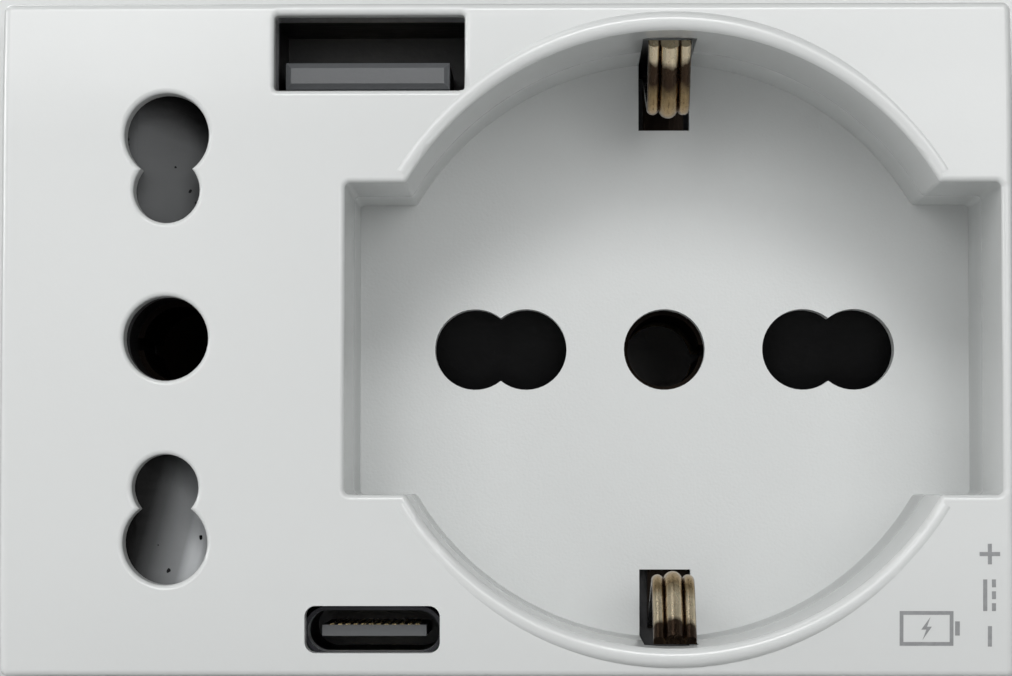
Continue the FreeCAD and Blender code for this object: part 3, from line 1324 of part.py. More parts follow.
def assembly_screws():
    """Four like screws that join housing and cover."""
    screws = []
    for x, sign in corner_places():
        seat = "case_depth - bolt_sink"
        shank = rod("bolt_shank", "bolt_radius", x, ("bolt_end", seat), f"{sign}post_z")
        head = rod("bolt_head_blank", "bolt_head", x, (seat, f"{seat} + bolt_head_high"), f"{sign}post_z")
        screws.append(fuse("bolt", shank, head))
    node(fuse("assembly_screws", *screws), "assembly_screws")


def check_and_write():
    doc.recompute()
    failed = [item.Name for item in doc.Objects if "Invalid" in item.State or "Error" in item.State]
    if failed:
        raise SystemExit(f"These features failed: {', '.join(failed)}")
    for item in nodes:
        if item.Shape.isNull() or not item.Shape.isValid():
            raise SystemExit(f"{item.Label} has no valid shape")
    os.makedirs("parts", exist_ok=True)
    for item in nodes:
        item.Shape.exportStep(f"parts/{item.Label}.step")
    print(f"{len(nodes)} pieces written")


fill_sheet()
front_cover()
rear_housing()
left_contact_block()
left_block_lid()
right_contact_block()
right_block_lid()
left_shutter()
right_shutter()
springs()
left_contact("left_line_contact", 1)
left_contact("left_neutral_contact", -1)
left_earth_contact()
right_live_contact("right_line_contact", -1)
right_live_contact("right_neutral_contact", 1)
right_earth_contact()
links()
earth_yoke()
for terminal_name, terminal_x in zip(("line", "earth", "neutral"), terminal_places()):
    terminal(terminal_name, terminal_x)
usb_a_port()
usb_c_port()
port_board()
power_board()
transformer()
components()
assembly_screws()
check_and_write()
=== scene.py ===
import json
import math
import bmesh
import bpy
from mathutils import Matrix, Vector


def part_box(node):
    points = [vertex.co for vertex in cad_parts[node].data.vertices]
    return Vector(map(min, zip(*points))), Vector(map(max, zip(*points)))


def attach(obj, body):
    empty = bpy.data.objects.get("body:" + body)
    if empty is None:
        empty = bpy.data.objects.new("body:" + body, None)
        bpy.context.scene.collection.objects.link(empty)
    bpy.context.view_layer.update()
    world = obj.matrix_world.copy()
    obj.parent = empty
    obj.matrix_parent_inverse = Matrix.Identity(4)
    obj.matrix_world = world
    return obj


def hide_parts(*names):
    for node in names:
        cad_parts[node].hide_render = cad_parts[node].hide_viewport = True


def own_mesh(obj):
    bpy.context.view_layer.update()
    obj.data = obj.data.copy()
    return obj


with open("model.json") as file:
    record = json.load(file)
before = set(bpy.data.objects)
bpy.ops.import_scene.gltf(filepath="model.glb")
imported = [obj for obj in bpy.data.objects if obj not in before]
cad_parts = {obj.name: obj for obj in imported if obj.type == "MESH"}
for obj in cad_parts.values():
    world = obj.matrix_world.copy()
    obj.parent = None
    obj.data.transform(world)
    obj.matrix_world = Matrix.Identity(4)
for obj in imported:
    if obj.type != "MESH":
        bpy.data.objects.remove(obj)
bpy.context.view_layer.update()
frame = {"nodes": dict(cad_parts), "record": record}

millimetre = 0.001
nodes = frame["nodes"]
print("frame loaded:", len(nodes), "pieces")


# A value of a material's node tree: sums and products of these add their Math nodes.

class Signal:
    def __init__(self, finish, socket):
        self.finish = finish
        self.socket = socket

    def maths(self, operation, first, second):
        return self.finish.add("ShaderNodeMath", {"operation": operation}, {0: first, 1: second})

    def __add__(self, other):
        return self.maths("ADD", self, other)

    def __radd__(self, other):
        return self.maths("ADD", other, self)

    def __sub__(self, other):
        return self.maths("SUBTRACT", self, other)

    def __rsub__(self, other):
        return self.maths("SUBTRACT", other, self)

    def __mul__(self, other):
        return self.maths("MULTIPLY", self, other)

    def __rmul__(self, other):
        return self.maths("MULTIPLY", other, self)

    def __gt__(self, other):
        return self.maths("GREATER_THAN", self, other)


class Finish:
    def __init__(self, name, **constants):
        self.material = bpy.data.materials.new(name)
        self.material.use_nodes = True
        self.tree = self.material.node_tree
        self.shader = self.tree.nodes["Principled BSDF"]
        for socket, value in constants.items():
            self.shader.inputs[socket.replace("_", " ")].default_value = value

    def add(self, kind, settings=None, inputs=None, output=0):
        node = self.tree.nodes.new(kind)
        for key, value in (settings or {}).items():
            if key == "stops":
                self.setStops(node.color_ramp, value)
            else:
                setattr(node, key, value)
        for key, value in (inputs or {}).items():
            if isinstance(value, Signal):
                self.tree.links.new(value.socket, node.inputs[key])
            else:
                node.inputs[key].default_value = value
        return Signal(self, node.outputs[output])

    def setStops(self, ramp, stops):
        ramp.elements.remove(ramp.elements[1])
        ramp.elements[0].position = stops[0][0]
        ramp.elements[0].color = solid(stops[0][1])
        for place, colour in stops[1:]:
            ramp.elements.new(place).color = solid(colour)

    def place(self):
        return self.add("ShaderNodeTexCoord", output="Object")

    def axis(self, name):
        return self.add("ShaderNodeSeparateXYZ", {}, {0: self.place()}, name)

    def stretched(self, factors):
        return self.add("ShaderNodeMapping", {}, {"Vector": self.place(), "Scale": factors})

    def noise(self, scale, detail=2, where=None):
        inputs = {"Vector": where or self.place(), "Scale": scale, "Detail": detail}
        return self.add("ShaderNodeTexNoise", {}, inputs, "Fac")

    def ramp(self, value, *stops):
        return self.add("ShaderNodeValToRGB", {"stops": stops}, {"Fac": value}, "Color")

    def span(self, value, low, high, start=0, end=1):
        inputs = {"Value": value, "From Min": low, "From Max": high, "To Min": start, "To Max": end}
        return self.add("ShaderNodeMapRange", {}, inputs)

    def blend(self, factor, first, second):
        settings = {"data_type": "RGBA"}
        inputs = {0: factor, 6: first, 7: second}
        return self.add("ShaderNodeMix", settings, inputs, 2)

    def feed(self, **signals):
        for socket, signal in signals.items():
            self.tree.links.new(signal.socket, self.shader.inputs[socket.replace("_", " ")])

    def bump(self, height, strength, depth):
        inputs = {"Strength": strength, "Distance": depth, "Height": height}
        self.feed(Normal=self.add("ShaderNodeBump", {}, inputs, "Normal"))


def solid(colour):
    return (*colour, 1)


def dimmed(colour, factor):
    return tuple(channel * factor for channel in colour)


# Moulded plastics

coverLook = {
    "colour": (0.655, 0.67, 0.665),
    "roughness": 0.22,
    "wellRoughness": 0.5,   # the well's floor is spark-eroded, the face is nearly polished
    "wellStart": 0.004,     # depth at which that texture is full
    "wellFade": 0.003,
    "cloud": 55,
    "shaded": 0.985,        # tone of the cloud's darker side
    "glossSwing": 0.03,
    "grain": 5200,
    "fineGrain": 1560,
    "faceGrain": 0.12,      # share of the texture that the face keeps
    "fineShare": 0.35,
    "bump": (0.16, 0.00012),
}


def coverWhite():
    look = coverLook
    finish = Finish("coverWhite", Specular_IOR_Level=0.5)
    cloud = finish.noise(look["cloud"], 3)
    depth = finish.span(finish.axis("Y"), look["wellStart"] - look["wellFade"], look["wellStart"])
    grain = finish.noise(look["grain"], 2)
    fine = finish.noise(look["fineGrain"], 3)
    swing, face = look["glossSwing"], look["faceGrain"]
    finish.feed(Base_Color=finish.ramp(cloud, (0.3, look["colour"]),
                                       (0.7, dimmed(look["colour"], look["shaded"]))))
    finish.feed(Roughness=finish.span(cloud, 0.2, 0.8, -swing, swing) + look["roughness"]
                + depth * (look["wellRoughness"] - look["roughness"]))
    finish.bump(grain * (face + (1 - face) * depth) + fine * look["fineShare"], *look["bump"])
    return finish.material


plastics = {   # colour, roughness, bump depth in metres, grains per metre
    "housing_grey": ((0.46, 0.47, 0.475), 0.48, 0.00012, 2600),
    "block_plastic": ((0.022, 0.022, 0.024), 0.42, 0.00008, 3000),
    "insulator_grey": ((0.105, 0.11, 0.115), 0.42, 0.00004, 4200),
    "insulator_black": ((0.1, 0.104, 0.108), 0.38, 0.00004, 4200),
    "bobbin_plastic": ((0.035, 0.035, 0.038), 0.45, 0.00006, 3000),
    "header_plastic": ((0.02, 0.02, 0.022), 0.4, 0.00005, 3600),
    "chip_black": ((0.028, 0.028, 0.03), 0.55, 0.00005, 5200),
}


mouldLook = {"cloud": 90, "shaded": 0.93, "smoother": 0.06, "rougher": 0.08, "bump": 0.35}

portDepthShade = {"on": ("insulator_grey", "insulator_black"), "start": -0.0060, "end": -0.0035,
            "colour": (0.004, 0.004, 0.0045)}   # painted shade: the ports' insulators are painted darker with depth, as shade deep inside the ports


def mouldedPlastic(name):
    colour, roughness, depth, grains = plastics[name]
    finish = Finish(name)
    shaded = dimmed(colour, mouldLook["shaded"])
    tint = finish.ramp(finish.noise(mouldLook["cloud"], 3), (0.25, shaded), (0.75, colour))
    # painted shade: the insulators darken towards the back of the ports
    if name in portDepthShade["on"]:
        deep = finish.span(finish.axis("Y"), portDepthShade["start"], portDepthShade["end"])
        tint = finish.blend(deep, tint, solid(portDepthShade["colour"]))
    finish.feed(Base_Color=tint)
    grain = finish.noise(grains, 3)
    finish.feed(Roughness=finish.span(grain, 0.3, 0.7, roughness - mouldLook["smoother"],
                                      roughness + mouldLook["rougher"]))
    finish.bump(grain, mouldLook["bump"], depth)
    return finish.material


shutterPaintedShadeAndWear = {   # place and tone of the painted light and shade ramps, in metres, across the lower flap and up the upper one; then the shutters' specks and scuffs
    "lower": ((-0.0240, 0.0), (-0.0235, 0.006), (-0.0226, 0.055), (-0.0216, 0.15), (-0.0207, 0.23),
              (-0.0201, 0.50), (-0.0196, 0.60), (-0.0190, 0.42)),
    "upper": ((0.0074, 0.09), (0.0109, 0.09), (0.0130, 0.07), (0.0142, 0.028), (0.0150, 0.005)),
    "lowerMiddle": 0.013,   # how far the lower double hole lies below the middle
    "lowerLean": 0.26,
    "upperMiddle": 0.0217,  # how far both lie left of the middle
    "upperLean": 0.45,
    "cool": (0.97, 1.0, 1.02),
    "dark": (0.004, 0.0042, 0.0045),
    "specks": 0.75,         # higher leaves fewer specks
    "speckGrain": 1500,
    "scuffGrain": 420,
    "roughness": (0.4, 0.55),
    "grain": 3400,
    "scuffShare": 0.6,
    "bump": (0.3, 0.00006),
    "gloss": 0.12,
    "soilGrain": 300,
    "soilShade": 0.5,
}


# a ramp of painted light and shade tones along one direction
def paintedShadeRamp(finish, place, stops):
    low, high = stops[0][0], stops[-1][0]
    marks = [((at - low) / (high - low), dimmed(shutterPaintedShadeAndWear["cool"], tone)) for at, tone in stops]
    return finish.ramp(finish.span(place, low, high), *marks)


def shutterWear(finish, colour):
    look = shutterPaintedShadeAndWear
    specks = finish.noise(look["speckGrain"], 1) > look["specks"]
    finish.feed(Base_Color=finish.blend(specks, colour, solid(look["dark"])))
    scuffs = finish.noise(look["scuffGrain"], 4, finish.stretched((1, 1, 6)))
    finish.feed(Roughness=finish.span(scuffs, 0.35, 0.7, *look["roughness"]))
    finish.bump(finish.noise(look["grain"], 2) + scuffs * look["scuffShare"], *look["bump"])
    return finish.material


def leftShutter():
    look = shutterPaintedShadeAndWear
    finish = Finish("shutter_grey", Specular_IOR_Level=look["gloss"])
    across, up = finish.axis("X"), finish.axis("Z")
    # painted light and shade: the flaps are dark where the holes' edges shade them and pale where light
    # reaches them
    lower = paintedShadeRamp(finish, across - (up + look["lowerMiddle"]) * look["lowerLean"], look["lower"])
    upper = paintedShadeRamp(finish, up + (across + look["upperMiddle"]) * look["upperLean"], look["upper"])
    return shutterWear(finish, finish.blend(up > 0, lower, upper))


def rightShutter():
    look = shutterPaintedShadeAndWear
    finish = Finish("shutter_dark", Specular_IOR_Level=look["gloss"])
    shaded = dimmed(look["dark"], look["soilShade"])
    darkPattern = finish.ramp(finish.noise(look["soilGrain"], 3), (0.3, shaded), (0.7, look["dark"]))
    return shutterWear(finish, darkPattern)


# Metals

metals = {   # colour, darker tone, roughness, how the rolling marks are stretched
    "contact_brass": ((0.78, 0.60, 0.33), (0.62, 0.45, 0.22), 0.28, (300, 300, 60)),
    "yoke_brass": ((0.88, 0.70, 0.46), (0.66, 0.48, 0.27), 0.24, (900, 500, 60)),
    "spring_steel": ((0.62, 0.62, 0.63), (0.45, 0.45, 0.47), 0.25, (700, 700, 700)),
    "screw_steel": ((0.66, 0.67, 0.68), (0.50, 0.50, 0.49), 0.27, (400, 400, 1500)),
    "cage_steel": ((0.60, 0.60, 0.59), (0.44, 0.43, 0.41), 0.33, (250, 700, 250)),
    "shell_steel": ((0.05, 0.05, 0.055), (0.025, 0.025, 0.028), 0.4, (200, 900, 200)),
    "gold_strip": ((0.83, 0.66, 0.34), (0.68, 0.50, 0.24), 0.24, (1200, 200, 1200)),
    "pin_tin": ((0.70, 0.70, 0.69), (0.55, 0.55, 0.54), 0.3, (500, 500, 500)),
}


rollingLook = {
    "mottle": 190,
    "marks": 3,             # multiplied by the stretch of each metal
    "smoother": 0.05,
    "rougher": 0.09,
    "bump": (0.12, 0.00004),
}


def metalTone(finish, name):
    colour, tone = metals[name][:2]
    return finish.ramp(finish.noise(rollingLook["mottle"], 4), (0.32, tone), (0.62, colour))


def rolled(finish, name):
    roughness, stretch = metals[name][2:]
    marks = finish.noise(rollingLook["marks"], 4, finish.stretched(stretch))
    finish.bump(marks, *rollingLook["bump"])
    return finish.span(marks, 0.3, 0.7, roughness - rollingLook["smoother"],
                       roughness + rollingLook["rougher"])


def metal(name):
    finish = Finish(name, Metallic=1)
    finish.feed(Base_Color=metalTone(finish, name))
    finish.feed(Roughness=rolled(finish, name))
    return finish.material


shellLip = {"start": -0.0068, "end": -0.0050, "fade": 0.0002, "colour": (0.92, 0.93, 0.95)}


def shellSteel():
    finish = Finish("shell_steel", Metallic=1)
    depth = finish.axis("Y")
    fade = shellLip["fade"]
    inward = finish.span(depth, shellLip["start"] - fade, shellLip["start"])
    lip = inward * finish.span(depth, shellLip["end"], shellLip["end"] + fade, 1, 0)
    tone = metalTone(finish, "shell_steel")
    finish.feed(Base_Color=finish.blend(lip, tone, solid(shellLip["colour"])))   # the shell is pale in a band at its front edge
    finish.feed(Roughness=rolled(finish, "shell_steel"))
    return finish.material


paintedContactShade = {
    "colour": (0.012, 0.009, 0.007),
    "leftEnd": 0.016,       # painted shade: the contacts behind the face are painted dark up to here, as shade in their holes
    "rightEnd": 0.021,      # those behind the well up to here
    "reach": 0.006,
    "between": -0.012,      # the two groups are left and right of here
    "rougher": 0.3,
}

clipPaintedLightAndGrooves = {   # painted light: place along the well in metres and tone of painted highlight, reflection and shadow bands, from the strip's free end to its bend; then the darker grooves
    "bright": (1.0, 0.84, 0.60),
    "bronze": (0.42, 0.30, 0.16),
    "brown": (0.07, 0.045, 0.03),
    # painted shadow: the strips are black where they go into the slot's shade
    "black": (0.012, 0.009, 0.007),
    "upper": ((-0.0050, "bright"), (-0.0044, "bright"), (-0.0040, "brown"), (-0.0030, "brown"),
              (-0.0023, "bronze"), (-0.0006, "bronze"), (0.0006, "black")),
    "lower": ((-0.0050, "brown"), (-0.0043, "brown"), (-0.0039, "bright"), (-0.0028, "bright"),
              (-0.0020, "bronze"), (-0.0002, "bronze"), (0.0012, "black")),
    "patchy": 0.0009,
    "middle": 0.0106,       # centre of the upper strip, across
    "lowerShift": 0.00025,  # the lower strip is that much further right
    "grooves": ((0.00052, 0), (0.00062, 1), (0.00072, 1), (0.00080, 0), (0.00130, 0), (0.00140, 1)),
    "grooveDarkColour": (0.12, 0.075, 0.045),
    "grooveDarkFade": (-0.001, 0.0004),
    "patches": 900,
}


def contactBrass():
    finish = Finish("contact_brass", Metallic=1)
    right = finish.axis("X") > paintedContactShade["between"]
    inside = finish.axis("Y") - right * (paintedContactShade["rightEnd"] - paintedContactShade["leftEnd"])
    # painted shade: the contacts' front ends are darkened as if in the shade of their holes
    dark = finish.span(inside, paintedContactShade["leftEnd"], paintedContactShade["leftEnd"] + paintedContactShade["reach"], 1, 0)
    finish.feed(Base_Color=finish.blend(dark, metalTone(finish, "contact_brass"), solid(paintedContactShade["colour"])))
    finish.feed(Roughness=rolled(finish, "contact_brass") + dark * paintedContactShade["rougher"])
    return finish.material


def paintedLightBandRamp(finish, place, stops):
    low, high = stops[0][0], stops[-1][0]
    marks = [((at - low) / (high - low), clipPaintedLightAndGrooves[tone]) for at, tone in stops]
    return finish.ramp(finish.span(place, low, high), *marks)


def clipBrass():
    finish = Finish("yoke_brass", Metallic=1)
    patches = finish.noise(clipPaintedLightAndGrooves["patches"], 3)
    along = finish.axis("Y") + (patches - 0.5) * clipPaintedLightAndGrooves["patchy"]
    # painted light: bright, dark and black bands along the strips stand in for their reflections and the
    # shadow in the slot
    upper, lower = (paintedLightBandRamp(finish, along, clipPaintedLightAndGrooves[place]) for place in ("upper", "lower"))
    above = finish.axis("Z") > 0
    paintedBands = finish.blend(above, lower, upper)
    across = finish.axis("X") - clipPaintedLightAndGrooves["middle"] - (1 - above) * clipPaintedLightAndGrooves["lowerShift"]
    side = finish.add("ShaderNodeMath", {"operation": "ABSOLUTE"}, {0: across})
    reach = clipPaintedLightAndGrooves["grooves"][-1][0]
    # the grooves between the ribs are darker, fading out deeper in
    darkPattern = finish.ramp(finish.span(side, 0, reach),
                       *((at / reach, (amount,) * 3) for at, amount in clipPaintedLightAndGrooves["grooves"]))
    front = finish.span(finish.axis("Y"), *clipPaintedLightAndGrooves["grooveDarkFade"], 1, 0)
    finish.feed(Base_Color=finish.blend(darkPattern * front, paintedBands, solid(clipPaintedLightAndGrooves["grooveDarkColour"])))
    finish.feed(Roughness=rolled(finish, "yoke_brass"))
    return finish.material


# Electronics

boardLook = {
    "lacquer": (0.012, 0.12, 0.05),
    "overCopper": (0.02, 0.2, 0.08),
    "coat": 0.5,
    "weave": 420,
    "tracks": 260,
    "roughness": (0.28, 0.42),
    "bump": (0.4, 0.00004),
}


def boardGreen():
    look = boardLook
    finish = Finish("boardGreen", Coat_Roughness=0.2, Coat_Weight=look["coat"])
    weave = finish.add("ShaderNodeTexWave", {"wave_type": "BANDS"}, {
        "Vector": finish.place(), "Scale": look["weave"], "Distortion": 1.5}, "Fac")
    copper = finish.add("ShaderNodeTexBrick", {"offset": 0.37}, {
        "Vector": finish.stretched((look["tracks"],) * 3), "Scale": 1, "Mortar Size": 0.06}, "Fac")
    finish.feed(Base_Color=finish.blend(copper, solid(look["lacquer"]), solid(look["overCopper"])))
    finish.feed(Roughness=finish.span(weave, 0, 1, *look["roughness"]))
    finish.bump(copper + weave * 0.3, *look["bump"])
    return finish.material


ferriteLook = {
    "pit": (0.03, 0.03, 0.032),
    "colour": (0.065, 0.065, 0.07),
    "pores": 2200,
    "roughness": (0.7, 0.45),
    "bump": (0.5, 0.00006),
}


def ferrite():
    look = ferriteLook
    finish = Finish("ferrite")
    pores = finish.add("ShaderNodeTexVoronoi", {}, {
        "Vector": finish.place(), "Scale": look["pores"]}, "Distance")
    finish.feed(Base_Color=finish.ramp(pores, (0.1, look["pit"]), (0.6, look["colour"])))
    finish.feed(Roughness=finish.span(pores, 0, 0.8, *look["roughness"]))
    finish.bump(pores, *look["bump"])
    return finish.material


tapeLook = {
    "edge": (0.62, 0.44, 0.06),
    "colour": (0.82, 0.63, 0.12),
    "turns": 330,
    "roughness": (0.38, 0.24),
    "bump": (0.35, 0.00008),
}


def coilTape():
    look = tapeLook
    finish = Finish("coilTape")
    turns = finish.add("ShaderNodeTexWave", {"wave_type": "BANDS", "bands_direction": "Y"}, {
        "Vector": finish.place(), "Scale": look["turns"], "Distortion": 0.6, "Detail": 1}, "Fac")
    finish.feed(Base_Color=finish.ramp(turns, (0.1, look["edge"]), (0.7, look["colour"])))
    finish.feed(Roughness=finish.span(turns, 0, 1, *look["roughness"]))
    finish.bump(turns, *look["bump"])
    return finish.material


sleeveLook = {
    "fold": (0.012, 0.018, 0.05),
    "colour": (0.02, 0.03, 0.085),
    "shrink": 700,
    "roughness": (0.22, 0.36),
    "bump": (0.3, 0.00006),
}


def canSleeve():
    look = sleeveLook
    finish = Finish("canSleeve")
    shrink = finish.noise(look["shrink"], 3, finish.stretched((1, 0.3, 1)))
    finish.feed(Base_Color=finish.ramp(shrink, (0.3, look["fold"]), (0.7, look["colour"])))
    finish.feed(Roughness=finish.span(shrink, 0.3, 0.7, *look["roughness"]))
    finish.bump(shrink, *look["bump"])
    return finish.material


finishes = {"cover_white": coverWhite(), "board_green": boardGreen(), "ferrite": ferrite(),
            "coil_tape": coilTape(), "can_sleeve": canSleeve(), "contact_brass": contactBrass(),
            "yoke_brass": clipBrass(), "shell_steel": shellSteel(), "shutter_grey": leftShutter(),
            "shutter_dark": rightShutter()}
finishes.update({name: metal(name) for name in metals if name not in finishes})
finishes.update({name: mouldedPlastic(name) for name in plastics})

for part in frame["record"]["subparts"]:
    mesh = nodes[part["node"]].data
    mesh.materials.clear()
    mesh.materials.append(finishes[part["material_slot"]])
print("finishes set:", len(finishes))


# Return springs, wound here as wire coils that fill each spring's box

springs = {   # the joint that presses it, its travel in metres, its axis, its fixed end
    "left_upper_spring": ("left_shutter_slide", 0.0055, 0, "low"),
    "left_lower_spring": ("left_shutter_slide", 0.0055, 0, "low"),
    "right_spring": ("right_shutter_slide", 0.0060, 2, "high"),
}

winding = {
    "wire": 0.00016,        # radius of the wire
    "turns": 8,
    "closed": 0.8,          # turns that lie closed at each end
    "opening": 0.4,         # turns over which they open
    "steps": 32,            # points along one turn
    "sides": 10,            # points round the wire
}


def openness(step, steps):
    turnsIn = min(step, steps - step) / winding["steps"]
    return min(1, max(0, (turnsIn - winding["closed"]) / winding["opening"]))


def coilHeights(length):
    steps = winding["turns"] * winding["steps"]
    closedRise = 2 * winding["wire"] / winding["steps"]
    shares = [openness(step, steps) for step in range(steps)]
    openRise = (length - closedRise * steps) / sum(shares)
    heights = [0]
    for share in shares:
        heights.append(heights[-1] + closedRise + share * openRise)
    return heights


def wireRing(form, centre, outward, along, wire):
    ring = []
    for side in range(winding["sides"]):
        angle = 2 * math.pi * side / winding["sides"]
        spoke = math.cos(angle) * outward + math.sin(angle) * along
        ring.append(form.verts.new(centre + wire * spoke))
    return ring


def coil(low, high, axis):
    wire = winding["wire"]
    along = Vector((axis == 0, axis == 1, axis == 2))
    sideways = Vector((axis != 0, 0, axis == 0))
    third = along.cross(sideways)
    middle = (Vector(low) + Vector(high)) / 2
    length = high[axis] - low[axis]
    radius = (high[1] - low[1]) / 2 - wire
    start = middle - along * (length / 2 - wire)
    form = bmesh.new()
    rings = []
    for step, height in enumerate(coilHeights(length - 2 * wire)):
        angle = 2 * math.pi * step / winding["steps"]
        outward = math.cos(angle) * sideways + math.sin(angle) * third
        rings.append(wireRing(form, start + along * height + outward * radius, outward, along, wire))
    for ring, following in zip(rings, rings[1:]):
        for side in range(winding["sides"]):
            after = (side + 1) % winding["sides"]
            form.faces.new((ring[side], ring[after], following[after], following[side])).smooth = True
    form.faces.new(rings[0])
    form.faces.new(rings[-1])
    bmesh.ops.recalc_face_normals(form, faces=form.faces[:])
    return form


def returnSpring(name):
    joint, travel, axis, end = springs[name]
    low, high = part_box(name)
    form = coil(low, high, axis)
    mesh = bpy.data.meshes.new(name + "_coil")
    form.to_mesh(mesh)
    form.free()
    mesh.materials.append(finishes["spring_steel"])
    spring = bpy.data.objects.new(name + "_coil", mesh)
    bpy.context.scene.collection.objects.link(spring)
    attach(spring, "socket")
    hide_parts(name)
    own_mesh(spring)


for name in springs:
    returnSpring(name)
print("springs wound:", len(springs))


# Marks printed on the face beside the ports, as thin ink that follows the crowned surface

markLook = {
    "ink": (0.235, 0.24, 0.245),
    "proud": 0.000012,      # thickness of the ink
    "step": 0.00035,        # longest edge of its facets
    "battery": (0.0266, -0.0184),
    "polarity": (0.0306, -0.0163),
    "mottle": 2600,
    "lighter": 1.25,
    "roughness": (0.4, 0.55),
    "bump": (0.2, 0.00002),
    "line": 0.26,           # millimetres, as the outlines below
    "frameLine": 0.24,
}


def inkFinish():
    look = markLook
    finish = Finish("markInk")
    mottle = finish.noise(look["mottle"], 3)
    worn = dimmed(look["ink"], look["lighter"])
    finish.feed(Base_Color=finish.ramp(mottle, (0.3, look["ink"]), (0.8, worn)))
    finish.feed(Roughness=finish.span(mottle, 0.3, 0.7, *look["roughness"]))
    finish.bump(mottle, *look["bump"])
    return finish.material


def bar(x, z, wide, high):
    return [(x - wide / 2, z - high / 2), (x + wide / 2, z - high / 2),
            (x + wide / 2, z + high / 2), (x - wide / 2, z + high / 2)]


def frameBars(x, z, wide, high, line):
    level, upright = (high - line) / 2, (wide - line) / 2
    return [bar(x, z + level, wide, line), bar(x, z - level, wide, line),
            bar(x - upright, z, line, high - 2 * line), bar(x + upright, z, line, high - 2 * line)]


def laidOn(carrier, x, z):
    hit, point, normal, face = carrier.ray_cast(Vector((x, -0.05, z)), Vector((0, 1, 0)))
    return Vector((x, point.y - markLook["proud"], z))


def splitLong(form, longest):
    form.normal_update()
    bmesh.ops.triangulate(form, faces=form.faces[:])
    edges = [edge for edge in form.edges if edge.calc_length() > longest]
    while edges:
        bmesh.ops.subdivide_edges(form, edges=edges, cuts=1)
        bmesh.ops.triangulate(form, faces=form.faces[:])
        edges = [edge for edge in form.edges if edge.calc_length() > longest]


def printedMark(name, outlines, centre, carrier):
    form = bmesh.new()
    for outline in outlines:
        corners = [(x * millimetre + centre[0], 0, z * millimetre + centre[1]) for x, z in outline]
        form.faces.new([form.verts.new(corner) for corner in corners])
    splitLong(form, markLook["step"])
    for vertex in form.verts:
        vertex.co = laidOn(carrier, vertex.co.x, vertex.co.z)
    bmesh.ops.recalc_face_normals(form, faces=form.faces[:])
    mesh = bpy.data.meshes.new(name)
    form.to_mesh(mesh)
    form.free()
    mesh.materials.append(inkFinish())
    mark = bpy.data.objects.new(name, mesh)
    bpy.context.scene.collection.objects.link(mark)
    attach(mark, "socket")


bolt = [(0.35, 1.0), (-0.45, -0.1), (-0.02, -0.1), (-0.35, -1.0), (0.45, 0.15), (0.04, 0.15)]
batteryMark = frameBars(0, 0, 3.4, 2.2, markLook["frameLine"]) + [bar(1.95, 0, 0.3, 0.9)]
batteryMark.append([(x * 0.75, z * 0.75) for x, z in bolt])
line = markLook["line"]
polarityMark = [bar(-0.3, 0, line, 2.0)]   # a long dash beside three short ones
polarityMark += [bar(0.25, z, line, 0.5) for z in (0.75, 0, -0.75)]
polarityMark += [bar(0, 2.6, line, 1.3), bar(-0.39, 2.6, 0.52, line), bar(0.39, 2.6, 0.52, line)]
polarityMark.append(bar(0, -2.6, line, 1.3))
printedMark("battery_mark", batteryMark, markLook["battery"], nodes["front_cover"])
printedMark("polarity_mark", polarityMark, markLook["polarity"], nodes["front_cover"])
print("marks printed")


# Studio: pale floor, soft lights and the camera in front of the face

studio = {
    "floor": -0.0238,
    "floorColour": (0.58, 0.58, 0.58),
    "floorReach": 1.5,
    "floorRows": 24,
    "floorCloud": 6,
    "floorShade": 0.97,
    "world": 0.0,
    "lightDistance": 0.9,
    "eye": (0.0035, -0.2200, -0.0096),
    "aim": (0, -0.009, 0),
    "lens": 118.2,
    "nearest": 0.005,
}

softLights = {   # elevation and azimuth in degrees, width and height, power in watts
    "lowFarLeft": ((10, -82), (0.36, 0.20), 2.36),
    "midLeft": ((20, -17), (0.36, 0.20), 1.02),
    "midWideLeft": ((20, -50), (0.36, 0.20), 0.41),
    "midRight": ((20, 17), (0.36, 0.20), 0.68),
    "highMiddle": ((34, 0), (0.36, 0.20), 2.7),
    "topWideLeft": ((68, -60), (0.36, 0.20), 0.61),
    "lowLeft": ((8, -17), (0.36, 0.20), 0.55),
    "lowWideLeft": ((8, -50), (0.36, 0.20), 0.12),
    "lowRight": ((8, 17), (0.36, 0.20), 1.01),
    "lowWideRight": ((8, 50), (0.36, 0.20), 0.37),
    "backLeft": ((40, 215), (0.6, 0.5), 3),
    "backRight": ((25, 140), (0.6, 0.5), 2),
}


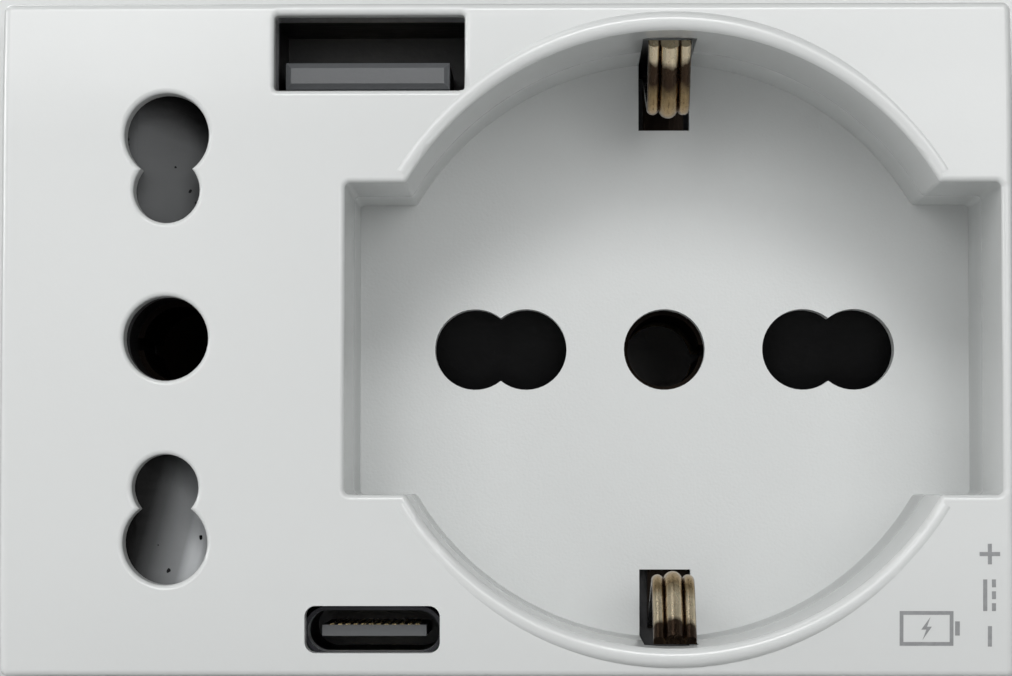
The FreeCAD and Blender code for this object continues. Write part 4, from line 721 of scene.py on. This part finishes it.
def paleFloor():
    reach, rows = studio["floorReach"], studio["floorRows"]
    points, faces = [], []
    for row in range(rows + 1):
        for column in range(rows + 1):
            x, y = (2 * column / rows - 1) * reach, (2 * row / rows - 1) * reach
            points.append((x, y, studio["floor"]))
    for row in range(rows):
        for column in range(rows):
            first = row * (rows + 1) + column
            faces.append((first, first + 1, first + rows + 2, first + rows + 1))
    mesh = bpy.data.meshes.new("floor")
    mesh.from_pydata(points, [], faces)
    floor = bpy.data.objects.new("floor", mesh)
    bpy.context.scene.collection.objects.link(floor)
    finish = Finish("paleFloor")
    cloud = finish.noise(studio["floorCloud"], 3)
    tone = studio["floorColour"]
    finish.feed(Base_Color=finish.ramp(cloud, (0.3, dimmed(tone, studio["floorShade"])), (0.7, tone)))
    finish.feed(Roughness=finish.span(cloud, 0.3, 0.7, 0.6, 0.7))
    mesh.materials.append(finish.material)


def softLight(name, angles, size, power):
    lamp = bpy.data.lights.new(name, "AREA")
    lamp.shape = "RECTANGLE"
    lamp.size, lamp.size_y = size
    lamp.energy = power
    light = bpy.data.objects.new(name, lamp)
    rise, turn = (math.radians(angle) for angle in angles)
    aim = Vector((math.cos(rise) * math.sin(turn), -math.cos(rise) * math.cos(turn), math.sin(rise)))
    light.location = aim * studio["lightDistance"]
    light.rotation_euler = (-aim).to_track_quat("-Z", "Y").to_euler()
    bpy.context.scene.collection.objects.link(light)


def frontCamera():
    lens = bpy.data.cameras.new("camera")
    lens.lens = studio["lens"]
    lens.clip_start = studio["nearest"]
    camera = bpy.data.objects.new("camera", lens)
    camera.location = studio["eye"]
    gaze = Vector(studio["aim"]) - Vector(studio["eye"])
    camera.rotation_euler = gaze.to_track_quat("-Z", "Y").to_euler()
    bpy.context.scene.collection.objects.link(camera)
    bpy.context.scene.camera = camera


def plainWorld():
    world = bpy.data.worlds.new("studio")
    world.use_nodes = True
    sky = world.node_tree.nodes["Background"]
    sky.inputs["Color"].default_value = (1, 1, 1, 1)
    sky.inputs["Strength"].default_value = studio["world"]
    bpy.context.scene.world = world


paleFloor()
plainWorld()
for name, (angles, size, power) in softLights.items():
    softLight(name, angles, size, power)
frontCamera()
bpy.context.scene.view_settings.view_transform = "Standard"
print("studio set")
